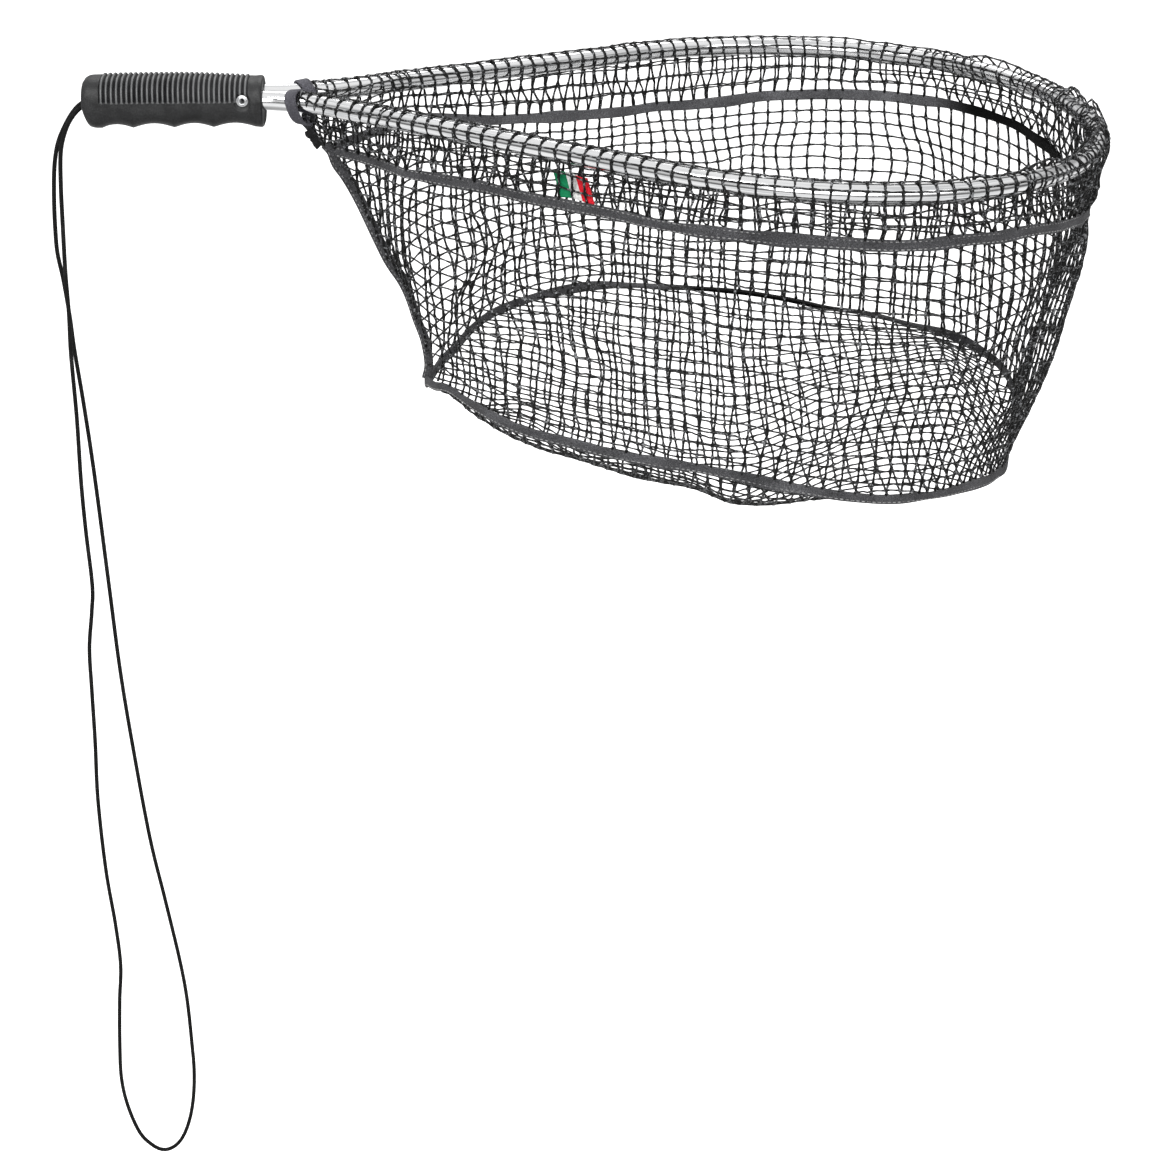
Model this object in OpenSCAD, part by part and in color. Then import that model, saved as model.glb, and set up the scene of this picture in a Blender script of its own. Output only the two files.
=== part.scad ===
// Trout landing net: bent aluminium hoop in a ribbed rubber grip, netting bag and elastic lanyard.
// Frame: X from the grip's rear towards the hoop's toe, Y across (front is -Y), Z up, millimetres.

/* [Grip] */
// from the origin back to the grip's rear end
grip_back = 56; // [45:0.1:70]
// from the origin forward to the grip's front end
grip_fore = 54.6; // [45:0.1:70]
// grip width across the two tube ends
grip_w = 35; // [30:0.5:45]
// grip height above the tube line
grip_top = 13.4; // [12:0.1:18]
// grip depth below the tube line at the finger bumps
grip_low = 17; // [14:0.1:22]
// corner radius of the grip's cross-section
grip_r = 12.5; // [8:0.5:14]
// number of half-round ribs
rib_n = 29; // [10:1:40]
// rib pitch
rib_pitch = 3.14; // [2.5:0.01:5]
// rib height
rib_h = 0.9; // [0.4:0.1:1.5]
// finger groove depth
groove_d = 2.5; // [1:0.1:4]

/* [Hoop] */
// datum of the hoop's outline ahead of the origin
hoop_x0 = 57.5; // [50:0.5:65]
// tube outside diameter
tube_d = 12; // [10:0.5:16]
// tube wall
tube_wall = 1.2; // [0.8:0.1:2]
// half the distance between the two tube ends in the grip
tube_y = 9; // [7:0.5:14]
// hoop half width at its widest
hoop_w2 = 186; // [150:1:220]
// widest point ahead of the grip
hoop_xw = 345.5; // [280:0.5:400]
// opening angle of the straight sides
side_a = 33.5; // [25:0.5:40]
// neck bend radius
neck_r = 90; // [50:1:140]
// shoulder bend radius
shoulder_r = 191; // [150:1:230]
// toe bend radius
toe_r = 205; // [180:1:240]
// half angle of the toe bend
toe_a = 35; // [25:1:45]
// how far the hoop drops towards the toe
droop = 2.1; // [0:0.1:4]

/* [Rivet] */
// rivet position ahead of the origin
rivet_x = 42.5; // [30:0.5:48]
// rivet height above the tube line
rivet_z = 1.5; // [-2:0.1:2]
// rivet bore radius
rivet_ri = 1.5; // [1:0.1:2]
// rivet shank radius
rivet_ro = 2.2; // [1.8:0.1:3]
// rivet flange radius
rivet_rf = 3.6; // [3:0.1:6]

/* [Bag] */
// seam tape depth below the tube's centre
seam_drop = 29; // [20:1:40]
// seam tape width
seam_w = 7.4; // [6:0.1:14]
// tape thickness
tape_t = 1.7; // [1:0.1:4]
// netting thickness as a plain sheet
net_t = 1.5; // [1:0.1:3]
// sag of the floor netting
floor_sag = 50; // [0:1:60]
// width of the heel and floor bindings
bind_w = 6.6; // [5:0.1:10]

/* [Lanyard] */
// elastic cord diameter
cord_d = 2.8; // [2:0.1:4]
// depth of the cord's holes in the grip
cord_in = 10; // [6:1:20]

/* [Hidden] */
$fn = 64;
gap = 0.4;
slip = 0.05;
tube_sides = 20;
cord_sides = 8;
grip_l = grip_back + grip_fore;
tube_r = tube_d / 2;
tube_ri = tube_r - tube_wall;

// hoop outline, in the hoop's own plane, x measured from its datum
end_r = (hoop_w2 - toe_r * sin(toe_a)) / (1 - sin(toe_a));
xd = hoop_xw - shoulder_r * sin(side_a);
yd = hoop_w2 - shoulder_r * (1 - cos(side_a));
x_apex = xd - (yd - tube_y) / tan(side_a);
tan_l = neck_r * tan(side_a / 2);
xb = x_apex - tan_l;
xc = x_apex + tan_l * cos(side_a);
yc = tube_y + tan_l * sin(side_a);
x_toe = hoop_xw - (toe_r - end_r) * cos(toe_a);
len_b = neck_r * side_a * PI / 180;
len_c = norm([xd - xc, yd - yc]);
len_d = shoulder_r * side_a * PI / 180;
len_e = end_r * (90 - toe_a) * PI / 180;
len_f = toe_r * toe_a * PI / 180;
len_half = len_b + len_c + len_d + len_e + len_f;
tube_in = 88;

// point of the outline [x, y, heading] at arc length s from the start of the neck bend
function arc_deg(s, r) = s / r * 180 / PI;
function at_b(a) = [xb + neck_r * sin(a), tube_y + neck_r * (1 - cos(a)), a];
function at_c(s) = [xc + s * cos(side_a), yc + s * sin(side_a), side_a];
function at_d(a) = [hoop_xw - shoulder_r * sin(a), hoop_w2 - shoulder_r * (1 - cos(a)), a];
function at_e(a) = [hoop_xw + end_r * sin(a), hoop_w2 - end_r * (1 - cos(a)), -a];
function at_f(a) = [x_toe + toe_r * cos(a), toe_r * sin(a), a - 90];
function outline(s) =
    s < len_b ? at_b(arc_deg(s, neck_r)) :
    s < len_b + len_c ? at_c(s - len_b) :
    s < len_b + len_c + len_d ? at_d(side_a - arc_deg(s - len_b - len_c, shoulder_r)) :
    s < len_half - len_f ? at_e(arc_deg(s - len_b - len_c - len_d, end_r)) :
    at_f(max(0, arc_deg(len_half - s, toe_r)));

// from the hoop's plane to the part's frame
function to_world(x, y, z) =
    [hoop_x0 + x * cos(droop) + z * sin(droop), y, -x * sin(droop) + z * cos(droop)];

function outline_all(s) = s < 0 ? [xb + s, tube_y, 0] : outline(s);
function steps(from, to, n) = [for (k = [1:n]) from + (to - from) * k / n];
arc_s = concat(steps(0, len_b, 5), [len_b + len_c], steps(len_b + len_c, len_half - len_e - len_f, 10),
    steps(len_half - len_e - len_f, len_half - len_f, 12), steps(len_half - len_f, len_half, 6));
hoop_s = concat([-tube_in, 0], arc_s);
hoop_up = [sin(droop), 0, cos(droop)];
function hoop_pt(s, side) = let (p = outline_all(s)) to_world(p[0], side * p[1], 0);
function hoop_out(s, side) = let (a = outline_all(s)[2])
    to_world(-sin(a), side * cos(a), 0) - [hoop_x0, 0, 0];
hoop_path = concat([for (s = hoop_s) hoop_pt(s, -1)],
    [for (k = [1:len(hoop_s) - 1]) hoop_pt(hoop_s[len(hoop_s) - 1 - k], 1)]);

// plan of the bag's upper edge: leaves the heel point, then follows the outline
heel_x = 38;
heel_s = 58;
n_side = 30;
heel_blend = 14;
function bag_s(t) = heel_s + t * (len_half - heel_s);
function bag_xy(t) = let (p = outline(bag_s(t)), k = max(0, 1 - t * heel_blend))
    [p[0] - k * (outline(heel_s)[0] - heel_x), p[1] * (1 - k), 0];

// how much lower than seam_drop each seam tape hangs, from heel (0) to toe (1)
dip_front = [[0, 4.3], [0.06, 3.4], [0.15, 1.2], [0.24, 2], [0.34, 1.7], [0.44, 0.4], [0.53, -0.7],
    [0.68, 0], [0.75, 1], [0.83, 7], [0.9, 14], [1, 24]];
dip_back = [[0, 0], [0.06, -4], [0.15, 1.5], [0.24, 6.9], [0.34, 9.7], [0.44, 10.8], [0.53, 6], [0.6, 2.2],
    [0.68, -0.9], [0.83, -1], [0.9, 3], [1, 24]];
function dip(t, side) = lookup(t, side < 0 ? dip_front : dip_back);
function top_pt(t, side, z) = let (p = bag_xy(t)) to_world(p[0], side * p[1], z - dip(t, side));

// centreline of the floor binding, heel to toe, front and back
floor_front = [[150, 0, -189], [165, -45, -177], [203, -103, -180], [258, -125, -189], [318, -136, -197],
    [378, -140, -209], [428, -138, -218], [468, -118, -223], [502, -84, -229], [524, -44, -238],
    [535, -5, -240]];
floor_back = [[150, 0, -189], [165, 50, -186], [195, 105, -177], [258, 134, -168], [320, 143, -172],
    [376, 147, -179], [430, 147, -189], [490, 136, -199], [532, 110, -208], [548, 60, -218],
    [535, -5, -240]];

function unit(v) = v / norm(v);
function curve_at(p, t) =
    let (n = len(p) - 1, u = min(n - 0.0001, max(0, t * n)), i = floor(u), f = u - i,
        a = p[max(0, i - 1)], b = p[i], c = p[i + 1], d = p[min(n, i + 2)])
    0.5 * (2 * b + (c - a) * f + (2 * a - 5 * b + 4 * c - d) * f * f
        + (3 * b - a - 3 * c + d) * f * f * f);
function floor_pt(t, side) = curve_at(side < 0 ? floor_front : floor_back, t);

// sweeps: a closed section carried along points, sections listed anticlockwise
function tangent(p, i) = unit(p[min(len(p) - 1, i + 1)] - p[max(0, i - 1)]);
function side_of(p, i, up) = unit(cross(tangent(p, i), up));
function box_section(w, t) = [[-t / 2, -w / 2], [t / 2, -w / 2], [t / 2, w / 2], [-t / 2, w / 2]];
function ring_section(r, n) = [for (k = [0:n - 1]) [r * cos(360 * k / n), r * sin(360 * k / n)]];

module sweep(p, sec, up) {
    m = len(sec);
    n = len(p);
    pts = [for (i = [0:n - 1]) let (s = side_of(p, i, up), b = cross(s, tangent(p, i)))
        for (q = sec) p[i] + s * q[0] + b * q[1]];
    body = [for (i = [0:n - 2]) for (j = [0:m - 1])
        [i * m + j, i * m + (j + 1) % m, (i + 1) * m + (j + 1) % m, (i + 1) * m + j]];
    first = [for (j = [0:m - 1]) m - 1 - j];
    last = [for (j = [0:m - 1]) (n - 1) * m + j];
    polyhedron(points = pts, faces = concat(body, [first], [last]), convexity = 10);
}

// closed loop, with one up direction for each point
module loop_sweep(p, sec, ups) {
    m = len(sec);
    n = len(p);
    pts = [for (i = [0:n - 1])
        let (t = unit(p[(i + 1) % n] - p[(i + n - 1) % n]), s = unit(cross(t, ups[i])), b = cross(s, t))
        for (q = sec) p[i] + s * q[0] + b * q[1]];
    body = [for (i = [0:n - 1]) for (j = [0:m - 1])
        [i * m + j, i * m + (j + 1) % m, ((i + 1) % n) * m + (j + 1) % m, ((i + 1) % n) * m + j]];
    polyhedron(points = pts, faces = body, convexity = 10);
}

// closed sheet between two grids of points with the same rows and columns
module sheet(outer, inner) {
    rows = len(outer);
    cols = len(outer[0]);
    half = rows * cols;
    pts = concat([for (r = outer) for (q = r) q], [for (r = inner) for (q = r) q]);
    face_o = [for (i = [0:rows - 2]) for (j = [0:cols - 2])
        for (tri = [[i * cols + j, i * cols + j + 1, (i + 1) * cols + j + 1],
                    [i * cols + j, (i + 1) * cols + j + 1, (i + 1) * cols + j]]) tri];
    face_i = [for (f = face_o) [half + f[2], half + f[1], half + f[0]]];
    rim = concat([for (j = [0:cols - 1]) j],
        [for (i = [1:rows - 1]) i * cols + cols - 1],
        [for (j = [1:cols - 1]) (rows - 1) * cols + cols - 1 - j],
        [for (i = [1:rows - 2]) (rows - 1 - i) * cols]);
    nr = len(rim);
    edge = [for (k = [0:nr - 1]) let (a = rim[k], b = rim[(k + 1) % nr])
        for (tri = [[b, a, half + a], [b, half + a, half + b]]) tri];
    polyhedron(points = pts, faces = concat(face_o, face_i, edge), convexity = 10);
}

// hollow round tube carried along points
module tube_sweep(p, ro, ri, m, up) {
    n = len(p);
    ring = [for (r = [ro, ri]) for (k = [0:m - 1]) [r * cos(360 * k / m), r * sin(360 * k / m)]];
    pts = [for (i = [0:n - 1]) let (s = side_of(p, i, up), b = cross(s, tangent(p, i)))
        for (q = ring) p[i] + s * q[0] + b * q[1]];
    w = 2 * m;
    body = [for (i = [0:n - 2]) for (j = [0:m - 1]) let (a = i * w + j, c = i * w + (j + 1) % m)
        for (f = [[a, c, c + w, a + w], [a + m, a + m + w, c + m + w, c + m]]) f];
    e = (n - 1) * w;
    caps = [for (j = [0:m - 1]) let (a = j, c = (j + 1) % m)
        for (f = [[c, a, a + m, c + m], [e + a, e + c, e + c + m, e + a + m]]) f];
    polyhedron(points = pts, faces = concat(body, caps), convexity = 10);
}

module hoop_frame() {
    translate([hoop_x0, 0, 0]) rotate([0, droop, 0]) children();
}

// grip
rib_t = 2.1;
rib_x = -43.4;
part_z = 0.9;
end_cut_a = 12.5;
end_cut_z = -2;
cutter = 40;
nose_r = 6;
bump_x = [-46.5, -26.2, -0.8, 23.4, 49.5];
function groove_r(i) = (pow((bump_x[i + 1] - bump_x[i]) / 2, 2) + pow(groove_d, 2)) / (2 * groove_d);
groove_sides = 160;
dimple_r = 4.8;
dimple_d = 1.4;
side_y = grip_w / 2;
cord_r = cord_d / 2;
cord_hole_r = cord_r + 0.2;
cord_ends = [[1.8, -2.4], [-1.8, -3.6]];
rivet_hole_r = rivet_ro + 0.1;
beyond = 10;

module grip_section(w, top, low, r) {
    // x of this flat section becomes Z (downwards), y becomes Y
    translate([-top + r, -w / 2 + r]) circle(r);
    translate([-top + r, w / 2 - r]) circle(r);
    translate([low - r, -w / 2 + r]) circle(r);
    translate([low - r, w / 2 - r]) circle(r);
    translate([-top + r, -w / 2]) square([top + low - 2 * r, w]);
    translate([-top, -w / 2 + r]) square([top + low, w - 2 * r]);
}

module grip_block(l) {
    rotate([0, 90, 0]) linear_extrude(l) children();
}

module tube_hole(side) {
    hoop_frame() translate([xb - tube_in - slip, side * tube_y, 0]) rotate([0, 90, 0])
        cylinder(r = tube_r + slip, h = tube_in + beyond);
}

module ribs() {
    intersection() {
        for (i = [0:rib_n - 1])
            translate([rib_x + i * rib_pitch - rib_t / 2, 0, 0]) grip_block(rib_t)
                grip_section(grip_w + 2 * rib_h, grip_top + rib_h, grip_low + rib_h, grip_r + rib_h);
        translate([-grip_back, -grip_w, part_z]) cube([grip_l, 2 * grip_w, 2 * grip_top]);
    }
}

module finger_grooves() {
    for (i = [0:len(bump_x) - 2])
        translate([(bump_x[i] + bump_x[i + 1]) / 2, grip_w, -grip_low - groove_r(i) + groove_d])
            rotate([90, 0, 0]) cylinder(r = groove_r(i), h = 2 * grip_w, $fn = groove_sides);
}

// slanted lower end and rounded upper end at the rear
module rear_cuts() {
    translate([-grip_back, -grip_w, end_cut_z]) rotate([0, 90 - end_cut_a, 0])
        translate([0, 0, -cutter]) cube([cutter, 2 * grip_w, cutter]);
    difference() {
        translate([-grip_back - 1, -grip_w, grip_top - nose_r])
            cube([nose_r + 1, 2 * grip_w, nose_r + 1]);
        translate([-grip_back + nose_r, grip_w + 1, grip_top - nose_r]) rotate([90, 0, 0])
            cylinder(r = nose_r, h = 2 * grip_w + 2);
    }
}

module rivet_hole(r) {
    translate([rivet_x, 0, rivet_z]) rotate([90, 0, 0])
        cylinder(r = r, h = grip_w + beyond, center = true);
}

module grip() {
    color([0.13, 0.13, 0.13]) difference() {
        union() {
            translate([-grip_back, 0, 0]) grip_block(grip_l)
                grip_section(grip_w, grip_top, grip_low, grip_r);
            ribs();
        }
        finger_grooves();
        rear_cuts();
        tube_hole(1);
        tube_hole(-1);
        rivet_hole(rivet_hole_r);
        for (s = [-1, 1]) translate([rivet_x, s * (side_y - dimple_d / 2 + 1), rivet_z]) rotate([90, 0, 0])
            cylinder(r = dimple_r, h = dimple_d + 2, center = true);
        for (c = cord_ends) translate([-grip_back - beyond, c[0], c[1]]) rotate([0, 90, 0])
            cylinder(r = cord_hole_r, h = beyond + cord_in);
    }
}

module hoop_tube() {
    color([0.8, 0.81, 0.83]) difference() {
        tube_sweep(hoop_path, tube_r, tube_ri, tube_sides, hoop_up);
        rivet_hole(rivet_hole_r);
    }
}

flange_t = 0.8;
head_r = rivet_rf - 0.9;
washer_t = 0.6;
seat_y = side_y - dimple_d;

module rivet() {
    color([0.75, 0.76, 0.78]) translate([rivet_x, 0, rivet_z]) rotate([90, 0, 0]) difference() {
        union() {
            cylinder(r = rivet_ro, h = 2 * (seat_y + washer_t + flange_t), center = true);
            for (s = [-1, 1]) translate([0, 0, s * (seat_y + washer_t + flange_t / 2)])
                cylinder(r = head_r, h = flange_t, center = true);
        }
        cylinder(r = rivet_ri, h = grip_w + beyond, center = true);
    }
}

module rivet_washers() {
    color([0.7, 0.71, 0.73]) for (s = [-1, 1])
        translate([rivet_x, s * (seat_y + washer_t / 2), rivet_z]) rotate([90, 0, 0]) difference() {
            cylinder(r = rivet_rf, h = washer_t, center = true);
            cylinder(r = rivet_ro + slip, h = washer_t + 1, center = true);
        }
}

// lanyard route, from one hole in the grip's rear end round the loop to the other
cord_route = [[-46.5, 1.8, -2.4], [-52, 1.8, -2.4], [-58, 2, -3.2], [-64, 2, -8.5], [-70, 2, -17.5],
    [-75.5, 2.5, -29], [-79, 3, -44], [-81, 3, -64], [-82, 3, -84], [-82, 3, -100],
    [-80, 4, -118], [-78, 4, -143], [-77, 4, -165],
    [-74, 4, -205], [-71, 3, -254], [-68, 3, -330], [-65, 2, -400], [-60, 1, -466], [-54, 0, -530],
    [-47, 0, -580], [-40, 0, -632], [-37, 0, -666], [-36, 0, -706], [-36, 0, -729], [-38, 0, -752],
    [-42, 0, -772], [-48, 0, -788], [-55, 0, -797], [-63, 0, -800], [-71, 0, -796], [-80, 0, -784],
    [-87, 0, -760], [-90, 0, -735], [-89, 0, -705], [-86, 0, -665], [-83, 0, -635], [-84, 0, -600],
    [-87, -1, -554], [-88, -1, -497], [-86, -2, -450], [-85, -2, -410], [-84, -2, -378],
    [-80, -3, -350], [-78, -3, -330], [-79, -3, -290], [-79, -4, -254], [-78, -4, -210], [-78, -4, -165],
    [-77, -4, -138], [-77, -3, -110], [-76, -3, -80], [-75, -3, -55], [-73.2, -2.5, -33],
    [-69, -2, -19], [-63.5, -2, -10], [-57.5, -2, -4.6], [-52, -1.8, -3.6], [-46.5, -1.8, -3.6]];

module lanyard_cord() {
    color([0.08, 0.08, 0.08]) sweep(cord_route, ring_section(cord_r, cord_sides), [0, 1, 0.02]);
}

// sleeve: netting folded over the tube and brought down to the seam tape
sleeve_ri = tube_r + 0.5;
sleeve_ro = sleeve_ri + net_t;
sleeve_low = seam_drop - seam_w / 2 - gap;

sleeve_s = concat([44, 54], [for (v = arc_s) if (v > 60 && v < len_half - 1) v], [len_half - gap]);

function sleeve_section(r, leg) = concat([[leg, -sleeve_low]],
    [for (k = [0:6]) [r * cos(30 * k), r * sin(30 * k)]], [[-leg, -sleeve_low]]);
function sleeve_grid(side, r, leg) = let (sec = sleeve_section(r, leg), m = len(sec))
    [for (i = [0:m - 1]) let (q = sec[side < 0 ? m - 1 - i : i]) [for (s = sleeve_s)
        let (down = q[1] < 0 ? dip((s - heel_s) / (len_half - heel_s), side) : 0)
        hoop_pt(s, side) + hoop_out(s, side) * q[0] + hoop_up * (q[1] - down)]];

module sleeve_side(side) {
    sheet(sleeve_grid(side, sleeve_ro, gap + net_t), sleeve_grid(side, sleeve_ri, gap));
}

module sleeve_front() {
    color([0.25, 0.25, 0.27]) sleeve_side(-1);
}

module sleeve_back() {
    color([0.25, 0.25, 0.27]) sleeve_side(1);
}

// tapes
function seam_half(side) = [for (k = [0:n_side]) top_pt(k / n_side, side, -seam_drop)];
function seam_loop() = let (f = seam_half(-1), b = seam_half(1))
    concat([for (k = [1:n_side]) f[k]], [for (k = [1:n_side - 1]) b[n_side - k]]);

module seam_tape() {
    color([0.22, 0.22, 0.24]) sweep(seam_loop(), box_section(seam_w, tape_t), [0, 0, 1]);
}

heel_route = [[98, 0, -43], [104, 0, -52], [112, 0, -68], [127, 0, -103], [138, 0, -122], [145, 0, -145],
    [150, 0, -160], [154, 0, -172]];

module heel_tape() {
    color([0.22, 0.22, 0.24]) sweep(heel_route, box_section(bind_w, tape_t), [1, 0, 0.4]);
}

n_floor = 36;
floor_tape_t = tape_t + 0.5;
function floor_loop() = concat([for (k = [0:n_floor]) floor_pt(k / n_floor, -1)],
    [for (k = [1:n_floor - 1]) floor_pt(1 - k / n_floor, 1)]);

// the floor tape stands on edge at the front and lies nearly flat along the back
function smooth01(x) = let (c = min(1, max(0, x))) c * c * (3 - 2 * c);
lie_most = 0.94;
lie_from = [215, 305];
lie_to = [485, 545];
function ramp_x(x, r) = smooth01((x - r[0]) / (r[1] - r[0]));
function lie(x) = lie_most * ramp_x(x, lie_from) * (1 - ramp_x(x, lie_to));
function floor_ups() = concat([for (k = [0:n_floor]) [0, 0, 1]],
    [for (k = [1:n_floor - 1]) let (f = lie(floor_pt(1 - k / n_floor, 1)[0])) [0, f, 1 - f]]);

module floor_tape() {
    color([0.22, 0.22, 0.24]) loop_sweep(floor_loop(), box_section(bind_w, floor_tape_t), floor_ups());
}

toe_route = [[571, 0, -81], [570, 0, -88], [566, 0, -102], [558, 0, -124], [550, 0, -152], [543, 0, -188],
    [538, -2, -215], [536, -4, -232]];

module toe_seam() {
    color([0.2, 0.2, 0.22]) sweep(toe_route, ring_section(2.6, 8), [0, 1, 0]);
}

// netting walls and floor, as plain sheets
wall_top = seam_drop + seam_w / 2 + gap;
wall_low = bind_w / 2 + gap;
wall_rows = 5;
wall_t0 = 0.012;
wall_t1 = 0.993;

function wall_mid(t, side, u) =
    let (a = top_pt(t, side, -wall_top), b = floor_pt(t, side) + [0, 0, wall_low]) a + (b - a) * u;
function wall_pt(k, side, u, off) = let (t = wall_t0 + (wall_t1 - wall_t0) * k / n_side,
    p = wall_mid(t, side, u), q = wall_mid(t + 0.01, side, u), r = wall_mid(t - 0.01, side, u),
    d = unit([q[0] - r[0], q[1] - r[1], 0]), nrm = [side < 0 ? d[1] : -d[1], side < 0 ? -d[0] : d[0], 0])
    p + nrm * off;
function wall_grid(side, off) = [for (i = [0:wall_rows])
    [for (k = [0:n_side]) wall_pt(side < 0 ? k : n_side - k, side, i / wall_rows, off)]];

module wall_side(side) {
    sheet(wall_grid(side, net_t / 2), wall_grid(side, -net_t / 2));
}

module wall_front() {
    color([0.28, 0.28, 0.3]) wall_side(-1);
}

module wall_back() {
    color([0.28, 0.28, 0.3]) wall_side(1);
}

floor_rows = 10;
floor_in = tape_t + 1;
floor_in_back = bind_w / 2 + gap;
floor_end = 0.05;
toe_notch = 12;
lean_front = 0.72;
sag_fade = 0.92;
sag_fade_t = [0.49, 0.77];
// sag at t along and u across: deepest near the front, fading past the middle
function sag(t, u) = floor_sag * sin(180 * pow(u, lean_front)) * pow(sin(180 * t), 0.75)
    * (1 - sag_fade * ramp_x(t, sag_fade_t));
function floor_grid(off) = [for (i = [0:floor_rows]) [for (k = [0:n_side])
    let (t = floor_end + (1 - 2 * floor_end) * k / n_side, u = i / floor_rows,
        f = floor_pt(t, -1) + [0, floor_in, 0], b = floor_pt(t, 1) - [0, floor_in_back, 0])
    f + (b - f) * u - [toe_notch * pow(t, 8) * 4 * u * (1 - u), 0, off + sag(t, u)]]];

module floor_net() {
    color([0.28, 0.28, 0.3]) sheet(floor_grid(net_t / 2), floor_grid(-net_t / 2));
}

// bindings at the neck: slack loops of tape, tight over the tube and hanging open below it
collar_w = 7.5;
collar_t = 1.5;
collar_side = 8;
collar_up = 7.6;
n_collar = 24;
function collar_path(side, s, low, swing) = [for (k = [0:n_collar - 1]) let (a = 360 * k / n_collar)
    hoop_pt(s, side) + hoop_out(s, side) * collar_side * cos(a)
        + hoop_up * (sin(a) > 0 ? collar_up : low) * sin(a)
        - [swing * (0.8 * cos(a) + sin(a)), 0, 0]];

module collar_loop(side, s, low, swing) {
    along = hoop_pt(s + 1, side) - hoop_pt(s, side);
    loop_sweep(collar_path(side, s, low, swing), box_section(collar_w, collar_t),
        [for (k = [1:n_collar]) along]);
}

tail_w = 3.6;
tail_front = [[79.5, -13, -13.8], [81.5, -11, -16.5], [84, -8, -21], [88, -4, -27]];

module collar_front() {
    color([0.33, 0.33, 0.38]) union() {
        collar_loop(-1, 27, 13, 3);
        sweep(tail_front, box_section(tail_w, collar_t), [0.8, 0, 0.6]);
    }
}

module collar_back() {
    color([0.33, 0.33, 0.38]) collar_loop(1, 29, 9, 2);
}

black_w = 6;
black_t = 2;
black_tail = [[81, -14, -18], [83, -15, -21], [85.5, -14, -23.5], [88, -15, -26.5], [90, -14.5, -30]];

module tape_tail() {
    color([0.1, 0.1, 0.11]) sweep(black_tail, box_section(black_w, black_t), [0.8, 0.3, 0.6]);
}

// striped woven tab standing up from the seam tape
tab_w = 23;
tab_h = 14.5;
tab_t = 1;
tab_s = 227;

module flag_tab() {
    p = outline(tab_s);
    color([0.9, 0.9, 0.9]) hoop_frame() translate([p[0], -p[1], -seam_drop + seam_w / 2 + gap])
        rotate([0, 0, -p[2]]) translate([-tab_w / 2, -tab_t / 2, 0]) cube([tab_w, tab_t, tab_h]);
}

grip();
hoop_tube();
rivet();
rivet_washers();
lanyard_cord();
sleeve_front();
sleeve_back();
seam_tape();
heel_tape();
floor_tape();
toe_seam();
wall_front();
wall_back();
floor_net();
collar_front();
collar_back();
tape_tail();
flag_tab();
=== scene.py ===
import math

import bpy
import numpy as np
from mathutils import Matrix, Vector


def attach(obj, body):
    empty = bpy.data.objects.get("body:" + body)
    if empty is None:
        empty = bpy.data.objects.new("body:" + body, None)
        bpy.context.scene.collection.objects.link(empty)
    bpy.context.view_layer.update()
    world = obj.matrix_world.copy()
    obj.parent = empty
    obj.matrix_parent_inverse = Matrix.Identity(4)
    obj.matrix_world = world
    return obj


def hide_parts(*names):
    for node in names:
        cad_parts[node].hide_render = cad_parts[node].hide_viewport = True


# Landing net in the CAD's frame: X runs from the grip to the hoop's toe, the near side is -Y, and Z is up.
# Lengths are in millimetres, apart from the camera, the stage and the lights.
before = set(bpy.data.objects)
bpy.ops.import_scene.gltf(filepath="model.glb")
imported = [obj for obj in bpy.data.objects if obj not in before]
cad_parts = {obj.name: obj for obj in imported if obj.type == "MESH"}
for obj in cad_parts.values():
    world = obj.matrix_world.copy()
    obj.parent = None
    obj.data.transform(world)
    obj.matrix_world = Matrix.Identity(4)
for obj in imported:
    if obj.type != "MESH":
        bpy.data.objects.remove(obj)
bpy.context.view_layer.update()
scene = bpy.context.scene
MM = 0.001
Z_UP = np.array([0.0, 0.0, 1.0])

# ---- camera
CAMERA_LENS = 76.56
CAMERA_SENSOR = 36.0
CAMERA_AT = (0.1995, -1.5201, 0.3661)
CAMERA_PITCH = 65.33
CAMERA_YAW = -1.92

cam_data = bpy.data.cameras.new("camera")
cam_data.lens = CAMERA_LENS
cam_data.sensor_width = CAMERA_SENSOR
cam_data.clip_end = 60.0
camera = bpy.data.objects.new("camera", cam_data)
camera.location = CAMERA_AT
camera.rotation_euler = (math.radians(CAMERA_PITCH), 0.0, math.radians(CAMERA_YAW))
scene.collection.objects.link(camera)
scene.camera = camera
scene.view_settings.view_transform = "Standard"


# ---- mesh helpers
# A shape is a triple: points (n, 3), quads (m, 4) of point numbers, and a dict of values for each point.
def add_piece(name, shape, mat, nodes=(), mat_index=0):
    """Makes a shape a smooth piece that rides on the root and stands for the CAD nodes."""
    verts, quads, values = shape
    v = np.asarray(verts, np.float32) * np.float32(MM)
    q = np.asarray(quads, np.int32)
    me = bpy.data.meshes.new(name)
    me.vertices.add(len(v))
    me.vertices.foreach_set("co", v.ravel())
    me.loops.add(q.size)
    me.loops.foreach_set("vertex_index", q.ravel())
    me.polygons.add(len(q))
    me.polygons.foreach_set("loop_start", np.arange(0, q.size, 4, dtype=np.int32))
    me.polygons.foreach_set("material_index", np.full(len(q), mat_index, np.int32))
    me.update(calc_edges=True)
    me.polygons.foreach_set("use_smooth", np.full(len(q), True))
    for key, value in values.items():
        layer = me.attributes.new(key, "FLOAT", "POINT")
        layer.data.foreach_set("value", np.asarray(value, np.float32).ravel())
    me.validate()
    obj = bpy.data.objects.new(name, me)
    me.materials.append(mat)
    scene.collection.objects.link(obj)
    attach(obj, "root")
    if nodes:
        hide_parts(*nodes)
    return obj


def steps(n):
    return np.linspace(0, 1, n)


def angles(k):
    return np.arange(k) * 2 * math.pi / k


def unit(v):
    return v / np.maximum(np.linalg.norm(v, axis=-1, keepdims=True), 1e-9)


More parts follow.
